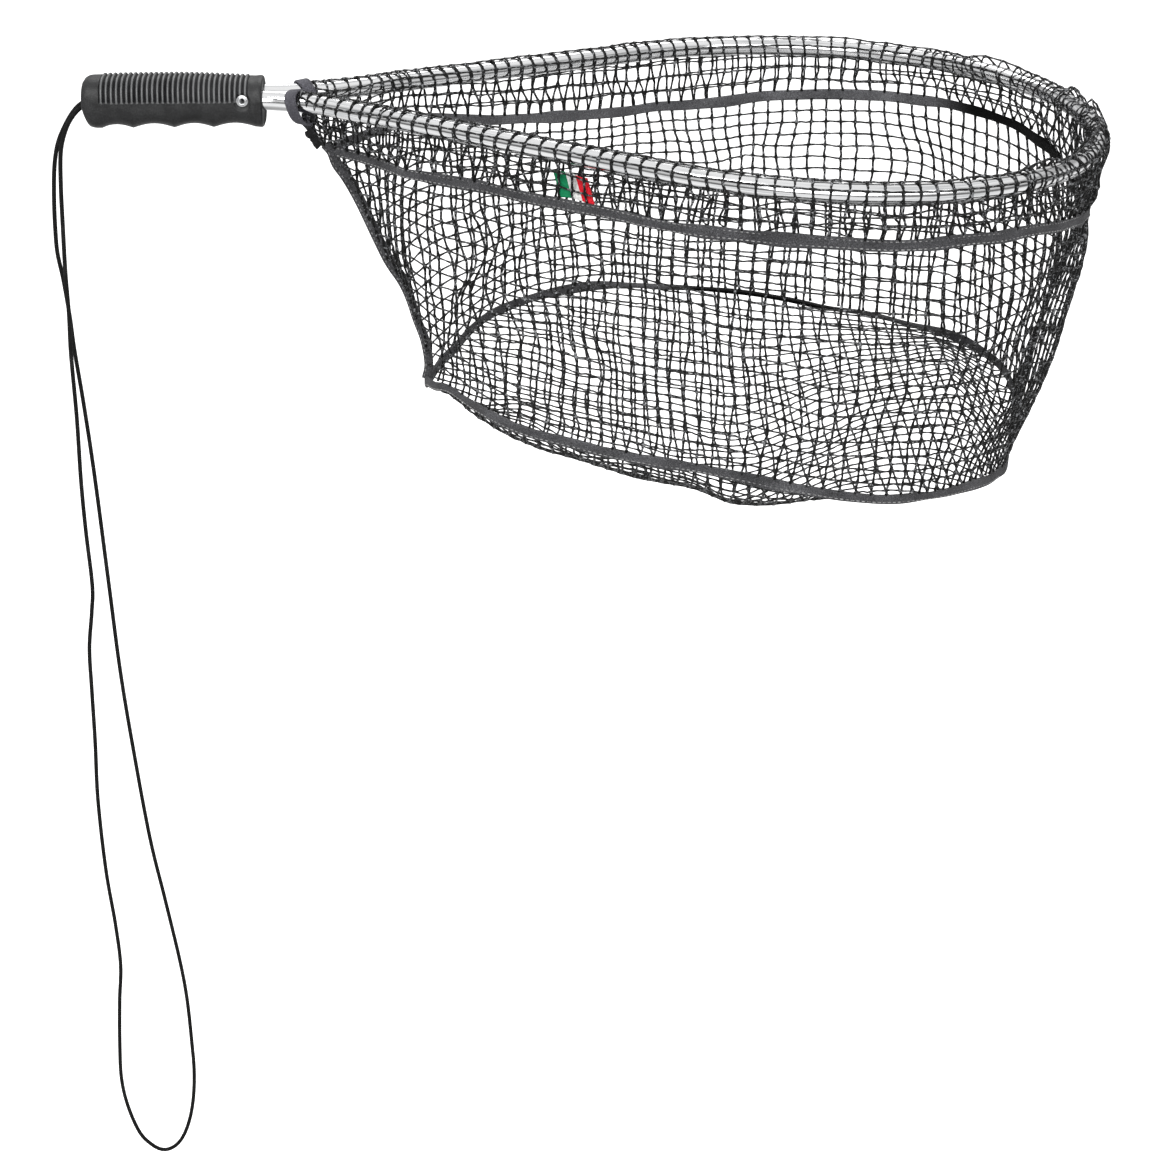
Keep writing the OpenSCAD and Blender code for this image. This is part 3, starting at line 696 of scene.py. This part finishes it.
def seam_pt(t, side, z):
    """Point at t from heel (0) to toe (1), below the tube, with z measured from the tube's centre."""
    x, y, _ = outline(HEEL_S + t * (HALF_LEN - HEEL_S))
    pull = np.clip(1 - t * HEEL_PULL, 0, None)
    x_at_heel = float(outline(np.array([HEEL_S]))[0][0])
    return to_world(x - pull * (x_at_heel - HEEL_X), side * y * (1 - pull), z - seam_dip(t, side))


# ---- netting
TWINE_R_V = 0.77
TWINE_R_H = 0.6
SUB = 3
KNOT_SIZE = 1.32
TWINE_SIZE = 0.9


def twine_shape(p, radius, r, wiggle, k=6):
    """One twine through the knots p, fatter at each knot."""
    q = spline_spans(p, SUB)
    q[:, 1:] += r.normal(0, wiggle, q[:, 1:].shape)
    q = np.vstack([q.reshape(-1, 3), p[-1:]])
    n = len(q)
    size = np.full(n, TWINE_SIZE)
    size[::SUB] = KNOT_SIZE
    size *= radius * (1 + r.normal(0, 0.07, n))
    steep = np.abs(unit(np.gradient(q, axis=0))[:, 2:]) >= 0.8
    v, quads, values = sweep(q, circle(1, k), np.where(steep, (0, 1, 0), Z_UP), scale=size)
    values["around"] = np.tile(angles(k), n)
    return v, quads, values


def net_piece(name, uprights, levels, seed, nodes, wiggle=0.2, stout=1.0):
    """A netting panel from its twines, each an array of knot positions."""
    r = np.random.default_rng(seed)
    parts = []
    for twines, radius in ((uprights, TWINE_R_V), (levels, TWINE_R_H)):
        kept = [p for p in twines if len(p) > 1 and arc_len(p)[-1] > 3]
        parts.append(merge([twine_shape(p, radius * stout, r, wiggle) for p in kept]))
    mat_index = np.repeat([0, 1], [len(part[1]) for part in parts])
    obj = add_piece(name, merge(parts), TWINE_V, nodes, mat_index)
    obj.data.materials.append(TWINE_H)
    return obj


def relax(g, pinned, iters=30, pull=(0, 0, -0.05), ease=1.01, smooth=0.02):
    """Lets the knots settle. Twines don't stretch, and push back a little when slack."""
    g = g.copy()
    rests = [np.linalg.norm(np.diff(g, axis=axis), axis=2) * ease for axis in (0, 1)]
    free = (~pinned)[..., None].astype(float)
    for _ in range(iters):
        g += free * np.array(pull)
        for axis in (1, 0):
            knots, loose, rest = (np.moveaxis(each, axis, 0) for each in (g, free, rests[axis]))
            for start in (0, 1):
                a = slice(start, len(knots) - 1, 2)
                b = slice(start + 1, len(knots), 2)
                d = knots[b] - knots[a]
                length = np.maximum(np.linalg.norm(d, axis=-1, keepdims=True), 1e-6)
                gap = length - rest[a][..., None]
                move = d / length * gap * np.where(gap > 0, 1.0, 0.12) / np.maximum(loose[a] + loose[b], 1e-6)
                knots[a] += move * loose[a]
                knots[b] -= move * loose[b]
        lap = np.zeros_like(g)
        lap[1:-1, 1:-1] = (g[:-2, 1:-1] + g[2:, 1:-1] + g[1:-1, :-2] + g[1:-1, 2:]) / 4 - g[1:-1, 1:-1]
        g += lap * smooth * free
    return g


def surface_at(surf, u, w):
    """Point of a dense surface (rows, cols, 3) at u down and w along, each 0 to 1."""
    r, c = surf.shape[0] - 1, surf.shape[1] - 1
    a, b = np.clip(u, 0, 1) * r, np.clip(w, 0, 1) * c
    i, j = np.minimum(a.astype(int), r - 1), np.minimum(b.astype(int), c - 1)
    return blend_four(surf, i, j, (a - i)[..., None], (b - j)[..., None])


# ---- walls, from the seam tape to the floor tape
WALL_ROWS = 17
FINE_R = 60
FINE_C = 240
# folds: (place along, place down, width, height, slant, how far it bulges, how far it draws knots in)
FRONT_FOLDS = [(0.178, 0.4, 0.052, 0.27, -0.18, 7, 34), (0.93, 0.4, 0.04, 0.5, 0.02, 7, 7),
               (0.55, 0.8, 0.05, 0.3, 0.1, 6, 8)]
BACK_FOLDS = [(0.46, 0.2, 0.05, 0.25, 0.1, -12, 10), (0.93, 0.42, 0.05, 0.45, 0, 13, 9),
              (0.2, 0.5, 0.05, 0.4, 0.1, 8, 8)]
BULGE = 5.0
# ripples of a wall: (millimetres, swings down, swings along, which draw)
PUSH = ((3.4, 3, 14, 0), (1.4, 6, 34, 1))
DROP = ((2.6, 3, 12, 2), (0.9, 7, 40, 5))
SLIDE = ((2.6, 4, 16, 3), (1.1, 9, 36, 4))


def ripples(table, seed, u, w):
    return sum(size * ripple(down, along, seed + k, u, w) for size, down, along, k in table)


def wall_surface(side, seed, folds):
    """The wall as a dense surface (rows, cols, 3), and the lengths of its top and low edges."""
    u = steps(FINE_R + 1)[:, None, None]
    w = steps(FINE_C + 1)[None, :, None]
    top = resample(seam_pt(steps(500), side, -SEAM_DROP - 2.9), FINE_C + 1)
    floor_edge = smooth_line(FLOOR_FRONT if side < 0 else FLOOR_BACK, 500)
    low = resample(floor_edge, FINE_C + 1) + 1.5 * Z_UP
    heel, toe = smooth_line(HEEL_ROUTE, FINE_R + 1), smooth_line(TOE_ROUTE, FINE_R + 1)
    g = (1 - u) * top + u * low
    g = g + (heel[:, None] - g[:, :1]) * (1 - w) ** 3 + (toe[:, None] - g[:, -1:]) * w**5
    g[0] = top
    d = np.gradient(top, axis=0)
    out = unit(np.stack([-d[:, 1], d[:, 0], 0 * d[:, 0]], 1))
    out *= np.sign(out[:, 1:2] * side)
    u, w = (u + 0 * w)[..., 0], (w + 0 * u)[..., 0]
    edge = np.sin(np.pi * u) * np.minimum(1, 8 * np.minimum(w, 1 - w) + 0.1)
    push, drop, slide = (ripples(table, seed, u, w) for table in (PUSH, DROP, SLIDE))
    push = push + BULGE
    along = unit(np.gradient(g, axis=1))
    for fold_w, fold_u, width, height, slant, lift, drag in folds:
        x = (w - fold_w - slant * (u - fold_u)) / width
        strength = np.exp(-x**2 - ((u - fold_u) / height) ** 2)
        push = push + lift * strength
        slide = slide - drag * x * strength
    g = g + out[None] * (push * edge)[..., None] + along * (slide * edge)[..., None]
    g[..., 2] += drop * edge
    return g, arc_len(top)[-1], arc_len(low)[-1]


def upright_tracks(surf, w_top, lean, split_x=440.0):
    """w of each upright at every row, and u_end, where the slanted heel cuts it.

    They are plumb as far as split_x, then drawn together. lean turns those near the heel."""
    w = steps(FINE_C + 1)
    x_top, x_low, x_heel = surf[0, :, 0], surf[-1, :, 0], surf[:, 0, 0]
    k_top, k_low = int(np.argmax(x_top > split_x)), int(np.argmax(x_low > split_x))
    x = np.interp(w_top, w, x_top)
    plumb = np.interp(x, x_low[: k_low + 1], w[: k_low + 1])
    drawn = w[k_low] + (1 - w[k_low]) * (w_top - w[k_top]) / (1 - w[k_top])
    w_low = np.where(w_top < w[k_top], plumb, drawn)
    near_heel = lean * (1 - rise(w_top, 0, 0.24))
    w_low = w_low + (w_top * 0.9 - w_low) * np.where(w_low > 0, near_heel, 0)
    k_heel = int(np.argmax(x_heel))
    u_end = np.interp(x, x_heel[: k_heel + 1], steps(FINE_R + 1)[: k_heel + 1])
    cut = x < x_low[0]
    u_end = np.where(cut, u_end + (1 - u_end) * lean, u_end)
    u = steps(WALL_ROWS + 1)[:, None]
    return np.where(cut, w_top * (1 - u / np.maximum(u_end, 1e-3)), w_top + (w_low - w_top) * u), u_end


def wall_twines(side, cols, seed, folds, lean):
    """Uprights and levels of a wall, with its top edge's length and how much shorter the low one is."""
    surf, top_len, low_len = wall_surface(side, seed, folds)
    w, u_end = upright_tracks(surf, steps(cols + 1), lean)
    inside = w > 1e-6
    inside[0, 0] = False
    u = steps(WALL_ROWS + 1)[:, None] + 0 * w
    g = surface_at(surf, np.where(inside, u, np.minimum(u, u_end)), w)
    pinned = ~inside
    pinned[[0, -1]] = True
    pinned[:, -1] = True
    g = relax(g, pinned)
    uprights = [g[: int(inside[:, c].sum()) + 1, c] for c in range(cols + 1)]
    levels = []
    for i in range(1, WALL_ROWS):
        start = surface_at(surf, np.array([i / WALL_ROWS]), np.array([0.0]))
        knots = g[i][inside[i]]
        if np.linalg.norm(knots[0] - start[0]) < 2.5:
            knots = knots[1:]
        levels.append(np.vstack([start, knots]))
    return uprights, levels, (top_len, top_len - low_len)


front_up, front_level, front_size = wall_twines(-1, 65, 100, FRONT_FOLDS, lean=0.25)
back_up, back_level, back_size = wall_twines(1, 64, 200, BACK_FOLDS, lean=0.0)
net_front = net_piece("netting_wall_front", front_up, front_level, 11, ["wall_front"])
net_back = net_piece("netting_wall_back", back_up, back_level, 21, ["wall_back"], stout=1.14)

# ---- sleeves, folded over the tube
SLEEVE_ROWS = 10
SLEEVE_SPLIT_X = 500.0


def sleeve_tracks(side, cols):
    """The sewn edge of the sleeve, from collar to toe, and the tube's length above each point."""
    start = smooth_line([(79, side * 8, -15), (86, side * 5, -25), (95, 0, -34)], 30)[:-1]
    edge = np.vstack([start, seam_pt(steps(400), side, -SEAM_DROP + 2.4)])
    length = arc_len(edge)
    at = steps(cols + 1) * length[-1]
    edge = look_up(at, length, edge)
    s = np.linspace(27 if side < 0 else 31, HALF_LEN, 800)
    hoop_x = hoop_pt(s, side)[:, 0]
    k = int(np.argmax(hoop_x > SLEEVE_SPLIT_X))
    j = int(np.argmax(edge[:, 0] > SLEEVE_SPLIT_X))
    near = np.interp(edge[:, 0], hoop_x[:k], s[:k])
    far = near[j] + (HALF_LEN - near[j]) * (at - at[j]) / (at[-1] - at[j])
    return edge, np.where(np.arange(cols + 1) < j, near, far)


def sleeve_grid(side, cols, seed, lean):
    """Knots of a sleeve, row by row from its outer sewn edge to its inner one."""
    rows = SLEEVE_ROWS
    sewn, s = sleeve_tracks(side, cols)
    loose_end = rise(s, 400, 180)
    toe = rise(s, HALF_LEN - 150, 150)
    r = TUBE_R + 0.8
    leg = np.linalg.norm(hoop_pt(s, side) - sewn, axis=1)
    total = 2 * leg + math.pi * r
    u, w = steps(rows + 1)[:, None], steps(cols + 1)[None]
    bow = ripple(5, 34, seed, u, w, spare=3)
    slide = 2.0 * ripple(4, 26, seed + 1, u, w, spare=3)
    loose = np.abs(ripple(4, 22, seed + 2, u, w, spare=3))
    ease = np.minimum(1, np.minimum(HALF_LEN - s, s - s[0]) / 30)
    g = np.zeros((rows + 1, cols + 1, 3))
    for i in range(rows + 1):
        d = total * i / rows
        a = np.clip((d - leg) / r, 0, math.pi)
        hang = np.where(d < leg, (leg - d) / leg, np.clip((d - total + leg) / leg, 0, 1))
        off = r + (0.3 + 2.6 * loose_end + 1.2 * toe) * loose[i] * (0.3 + 0.7 * np.sin(a))
        skew = (i / rows - 0.5) * lean
        shift = (slide[i] * (0.5 + 1.4 * loose_end) + skew) * ease * (1 - hang)
        at = np.clip(s + shift, s[0], HALF_LEN)
        out = hoop_out(at, side)
        on_tube = hoop_pt(at, side) + out * (off * np.cos(a))[:, None] + UP * (off * np.sin(a))[:, None]
        lip = hoop_out(s, side) * np.where(a < 1.6, 0.1, -0.1)[:, None]
        on_leg = (hang > 0) * 4 * hang * (1 - hang)
        slack = bow[i] * 1.6 + np.sign(np.cos(a)) * 2.6 * loose_end * loose[i]
        g[i] = on_tube * (1 - hang)[:, None] + (sewn + lip) * hang[:, None]
        g[i] += out * (slack * on_leg)[:, None]
        g[i, :, 2] += slide[i] * 0.8 * on_leg
        g[i] += np.gradient(on_tube, axis=0) * (slide[i] * 0.12 * on_leg)[:, None]
    return g


def sleeve_piece(name, g, seed, nodes):
    return net_piece(name, np.swapaxes(g, 0, 1), g[1:-1], seed, nodes, wiggle=0.18)


front_grid = sleeve_grid(-1, 68, 300, lean=3.0)
back_grid = sleeve_grid(1, 70, 400, lean=1.0)
sleeve_f = sleeve_piece("netting_sleeve_front", front_grid, 31, ["sleeve_front"])
sleeve_b = sleeve_piece("netting_sleeve_back", back_grid, 41, ["sleeve_back"])

# ---- floor, a square mesh cut to a leaf shape
FLOOR_PITCH = 8.6
FLOOR_BELLY = 51.0
FLOOR_X0 = 150.0
FLOOR_L = 395.0
FAN_X = 395.0
FADE_X = 345.0
FLOOR_KNOTS = (np.arange(152.0, 548, FLOOR_PITCH), np.arange(-136.0, 148, FLOOR_PITCH))
front_line = smooth_line(FLOOR_FRONT, 600)
back_line = smooth_line(FLOOR_BACK, 600)
edge_f = resample(front_line, 400)
edge_b = resample(back_line, 400)
leaf = np.vstack([edge_f, edge_b[::-1]])[:, :2]


def floor_point(x, y):
    """The floor at flat position (x, y): it sags most towards the front, and fans at the toe."""
    y_front, z_front = (np.interp(x, edge_f[:, 0], edge_f[:, k]) for k in (1, 2))
    y_back, z_back = (np.interp(x, edge_b[:360, 0], edge_b[:360, k]) for k in (1, 2))
    u = np.clip((y - y_front) / np.maximum(y_back - y_front, 1), 0, 1)
    t = np.clip((x - FLOOR_X0) / FLOOR_L, 0, 1)
    belly = np.sin(np.pi * u**0.72) * np.sin(np.pi * t) ** 0.75 * (1 - 0.92 * rise(x, FADE_X, 110))
    free = np.minimum(1, np.minimum(u, 1 - u) * 6) * np.minimum(1, np.minimum(t, 1 - t) * 10)
    fan = (x - FAN_X) * rise(x, FAN_X, 110) * np.sin(np.pi * u) * free
    calm = free * (1 - 0.7 * rise(x, 380, 70))
    slip_x, slip_y, slip_z = (calm * ripple(7, 12, seed, u, t) for seed in (51, 52, 53))
    z = z_front + (z_back - z_front) * u - FLOOR_BELLY * belly - 2.2 * slip_z + 0.1 * fan
    return np.stack([x + 1.8 * slip_x, y + 1.6 * slip_y + 0.3 * fan, z], -1)


def leaf_crossings(axis, value):
    """Where the leaf's edge crosses the line on which an axis has a value."""
    after = np.roll(leaf, -1, 0)
    a, b = leaf[:, axis], after[:, axis]
    hit = (a - value) * (b - value) < 0
    f = (value - a[hit]) / (b[hit] - a[hit])
    return np.sort(leaf[hit, 1 - axis] * (1 - f) + after[hit, 1 - axis] * f)


def floor_twines(axis):
    """Twines with a constant value on an axis, from tape to tape, knotted where others cross."""
    twines = []
    others = FLOOR_KNOTS[1 - axis]
    for value in FLOOR_KNOTS[axis]:
        ends = leaf_crossings(axis, value)
        if len(ends) < 2:
            continue
        run = np.r_[ends[0], others[(others > ends[0] + 2) & (others < ends[-1] - 2)], ends[-1]]
        level = np.full_like(run, value)
        twines.append(floor_point(level, run) if axis == 0 else floor_point(run, level))
    return twines


floor_cross = floor_twines(0)
net_floor = net_piece("netting_floor", floor_cross, floor_twines(1), 61, ["floor_net"])

# ---- tapes
SEAM_T = 2.0
HEEL_T = 1.9
FLOOR_T = 2.2
SEAM_POINTS = 330
HEEL_UP = np.array([1.0, 0, 0.4])
STITCH_PITCH = 3.4
SEAM_SHADE = 0.43
NEAR_SHADE = 0.4
FLOOR_SHADE = 0.34


def band(name, line, up, size, mat, nodes, seed, shade=None, closed=False, puff=0.1):
    """A tape of size (width, thickness) along a line, its width towards up, darkened by shade."""
    k = 1 + wavy(len(line), max(6, len(line) // 12), puff, seed)
    v, q, values = sweep(line, rounded_band(size[1], size[0]), up, closed=closed, scale=k)
    if shade is not None:
        values["shade"] = np.repeat(np.broadcast_to(shade, len(line)), len(v) // len(line))
    return add_piece(name, (v, q, values), mat, nodes)


def stitches(line, up, out, length, r, off_up, off_out):
    """Thread dashes along a line, off_up and off_out from the tape's middle."""
    s = arc_len(line)
    ahead = unit(np.gradient(line, axis=0))
    parts = []
    for at in np.arange(STITCH_PITCH, s[-1] - STITCH_PITCH, STITCH_PITCH):
        middle = look_up(at, s, line)
        d = unit(look_up(at, s, ahead))
        o = unit(look_up(at, s, out))
        run = d * (np.array([-1, -0.6, 0, 0.6, 1]) * length / 2)[:, None]
        sink = o * (off_out + r * np.array([-1.2, 0.1, 0.4, 0.1, -1.2]))[:, None]
        parts.append(sweep(middle + up * off_up + run + sink, circle(r, 6), up + 0.01))
    return merge(parts)


def seam_line():
    """The seam tape's line, once round the hoop from the heel, and the way out from it."""
    t = np.linspace(0.003, 1, SEAM_POINTS)
    line = np.vstack([seam_pt(t, -1, -SEAM_DROP), seam_pt(t, 1, -SEAM_DROP)[::-1][1:]])
    line[:, 2] += wavy(len(line), 46, 0.5, 7)
    out = np.cross(unit(np.gradient(line, axis=0)), Z_UP)
    return line + out * wavy(len(line), 50, 0.5, 8)[:, None], out


def floor_line():
    """The floor tape's closed line, the way out from it, and which points are on the far side."""
    near = resample(front_line, 300)
    far = resample(back_line, 300)
    line = np.vstack([near, far[::-1][1:-1]])
    line[:, 2] += wavy(len(line), 40, 0.5, 13)
    ahead = unit(np.roll(line, -1, 0) - np.roll(line, 1, 0))
    return line, unit(np.cross(ahead, Z_UP)), np.arange(len(line)) >= len(near)


def toe_strands():
    """Bunched twine down the toe, under the seam."""
    line = smooth_line(TOE_ROUTE, 120)
    strands = []
    for k in range(7):
        a = np.linspace(0, 5 * math.pi, len(line)) + 2 * math.pi * k / 7
        off = np.stack([0.6 * np.cos(a), np.sin(a), 0 * a], 1) * (1.6 + wavy(len(a), 9, 0.5, 70 + k))[:, None]
        strands.append(sweep(line + off, circle(0.75, 6), (0, 1, 0)))
    return merge(strands)


seam, seam_out = seam_line()
on_far = np.arange(len(seam)) >= SEAM_POINTS
seam_shade = np.where(on_far, rise(seam[:, 0], 485, 40), SEAM_SHADE)
band("seam_binding", seam, Z_UP, (SEAM_W, SEAM_T), TAPE, ["seam_tape"], 9, seam_shade)

heel = smooth_line([(91, 0, -30)] + HEEL_ROUTE, 95)
band("heel_binding", heel, HEEL_UP, (BIND_W, HEEL_T), TAPE, ["heel_tape"], 12, NEAR_SHADE)

# the floor tape stands on edge, but lies flat along the far side
floor, floor_out, on_far = floor_line()
floor_x = floor[:, 0]
lie = np.where(on_far, rise(floor_x, 215, 90) * (1 - rise(floor_x, 485, 60)), 0)[:, None]
floor_up = unit(Z_UP * (1 - 0.94 * lie) + floor_out * lie)
far_shade = rise(floor_x, 300, 40) * (1 - 0.35 * rise(floor_x, 430, 30))
floor_shade = np.maximum(np.where(on_far, far_shade, 0), FLOOR_SHADE)
size = (BIND_W, FLOOR_T)
band("floor_binding", floor, floor_up, size, TAPE, ["floor_tape"], 14, floor_shade, True)

add_piece("toe_seam_twines", toe_strands(), TWINE_V, ["toe_seam"])

heel_out = np.repeat([[0.0, -1.0, 0.0]], len(heel), 0)
near_floor = slice(0, 270)
thread = [stitches(seam, Z_UP, seam_out, 2.3, 0.34, -SEAM_W / 2 + 1.5, 0.86),
          stitches(seam, Z_UP, seam_out, 2.0, 0.26, SEAM_W / 2 - 1.3, 0.84),
          stitches(floor[near_floor], Z_UP, floor_out[near_floor], 2.2, 0.32, -BIND_W / 2 + 1.6, 1.08),
          stitches(heel, HEEL_UP, heel_out, 2.2, 0.26, -BIND_W / 2 + 1.5, 0.9)]
add_piece("seam_stitches", merge(thread), THREAD)

# ---- collars at the neck
COLLAR_W = 7.5
COLLAR_T = 1.5
TAIL_ROUTE = [(79.5, -13, -13.8), (81.5, -11, -16.5), (84, -8, -21), (88, -4, -27), (94, -1, -33)]
BLACK_ROUTE = [(81.5, -14, -18), (83, -15.5, -20.5), (85, -14, -22.5), (86.5, -15.5, -25),
               (88.5, -14.5, -27.5)]


def collar(name, side, s, seed, nodes, low, swing):
    """The sleeve's bound end: a tape loop round the tube at s, tight on top and open below."""
    n = 72
    a = np.linspace(0, 2 * math.pi, n, endpoint=False)[:, None]
    at = np.array([s, s + 1.0])
    middle, ahead = hoop_pt(at, side)
    out = hoop_out(at, side)[0]
    tall = np.where(np.sin(a) > 0, 7.6, low)
    ring = middle + out * (np.cos(a) * 8.0) + UP * (np.sin(a) * tall)
    ring[:, :1] -= swing * (0.8 * np.cos(a) + np.sin(a))
    facing = unit(ahead - middle + UP * 0.15 * np.sin(a))
    puff = 1 + wavy(n, 7, 0.04, seed) * np.sin(a[:, 0] / 2)
    shape = sweep(ring, rounded_band(COLLAR_T, COLLAR_W), facing, closed=True, scale=puff)
    return add_piece(name, shape, COLLAR, nodes)


collar("collar_front_loop", -1, 27, 81, ["collar_front"], low=13.0, swing=3.0)
collar("collar_back_loop", 1, 29, 82, ["collar_back"], low=9.0, swing=2.0)
tail = smooth_line(TAIL_ROUTE, 50)
band("collar_front_tail", tail, (0.8, 0, 0.6), (3.4, 1.3), TAPE, [], 83, NEAR_SHADE)
black = smooth_line(BLACK_ROUTE, 40)
band("black_tape_end", black, (0.8, 0.3, 0.6), (5.2, 2.0), BLACK, ["tape_tail"], 84, puff=0.12)

# ---- striped tab
TAB_S = 227.0
TAB_W = 23.0
TAB_H = 14.5
TAB_T = 0.9


def tab_shape(cols=40, rows=24):
    """A small ribbon that stands on the seam tape, rippled and leaning."""
    x, y, heading = (float(each[0]) for each in outline(np.array([TAB_S])))
    u, h = np.meshgrid(steps(cols), steps(rows))
    along = (u - 0.5) * TAB_W - 6.0 * h
    off = -0.9 * np.sin(u * 2 * math.pi * 1.4 + 0.6) * h + 0.2 + 0.6 * h
    z = -SEAM_DROP + SEAM_W / 2 - 1.2 + h * TAB_H + 0.5 * np.sin(u * 5)
    c, s = math.cos(-heading), math.sin(-heading)
    px = x + along * c - off * s
    py = -y + along * s + off * c
    faces = [to_world(px - half * s, py + half * c, z).reshape(-1, 3) for half in (-TAB_T / 2, TAB_T / 2)]
    count = rows * cols
    quads = grid_quads(rows, cols, wrap_cols=False)
    rim = np.r_[np.arange(cols), np.arange(2, rows + 1) * cols - 1,
                np.arange(count - 2, count - cols - 1, -1), np.arange(rows - 2, 0, -1) * cols]
    quads = np.vstack([quads, quads[:, ::-1] + count, join_rings(rim, rim + count)])
    values = {"stripe": u, "along": h * TAB_H, "around": u * TAB_W}
    return np.vstack(faces), quads, {key: np.tile(value.ravel(), 2) for key, value in values.items()}


tab = add_piece("striped_tab", tab_shape(), TAB, ["flag_tab"])


# ---- stage floor, lights, world
STAGE_Z = -0.86


def stage_floor():
    """A white sheet under the net, which throws no light on it."""
    bpy.ops.mesh.primitive_plane_add(size=60, location=(0, 0, STAGE_Z))
    ground = bpy.context.object
    ground.name = "stage_floor"
    paint = material("stage_paint", grey(0.9), 0.9, Emission_Color=(1, 1, 1, 1), Emission_Strength=0.8)
    ground.data.materials.append(paint.owner)
    ground.visible_diffuse = False
    ground.visible_glossy = False


def area_light(name, place, target, power, width, height=None):
    data = bpy.data.lights.new(name, "AREA")
    data.energy = power
    data.size = width
    if height:
        data.shape = "RECTANGLE"
        data.size_y = height
    light = bpy.data.objects.new(name, data)
    light.location = place
    light.rotation_euler = (Vector(target) - Vector(place)).to_track_quat("-Z", "Y").to_euler()
    scene.collection.objects.link(light)


def studio_world():
    """A pale studio with darker bands for the tube to reflect."""
    world = bpy.data.worlds.new("world")
    scene.world = world
    w = Nodes(world, "Background")
    separate = w.add("ShaderNodeSeparateXYZ", [(0, w.add("ShaderNodeTexCoord").outputs["Generated"])])
    height = w.math("MULTIPLY_ADD", separate.outputs["Z"], 0.5, 0.5)
    sky = w.greys(height, (0.0, 0.35), (0.05, 0.5), (0.15, 0.95), (0.35, 0.85), (0.41, 0.2), (0.49, 0.13),
                  (0.55, 0.55), (0.66, 0.7), (0.7, 0.36), (0.75, 0.36), (0.82, 0.75), (0.9, 0.84))
    w.feed(Color=sky, Strength=1.0)


stage_floor()
area_light("key", (-0.9, -1.3, 1.6), (0.2, 0, -0.1), power=22, width=0.8)
area_light("fill", (1.4, -1.6, 0.9), (0.3, 0, -0.1), power=8, width=1.0)
area_light("front", (0.2, -2.2, 0.7), (0.25, 0, -0.15), power=22, width=1.6)
area_light("rim", (0.4, 1.6, 1.4), (0.3, 0, 0), power=12, width=1.4, height=0.5)
studio_world()
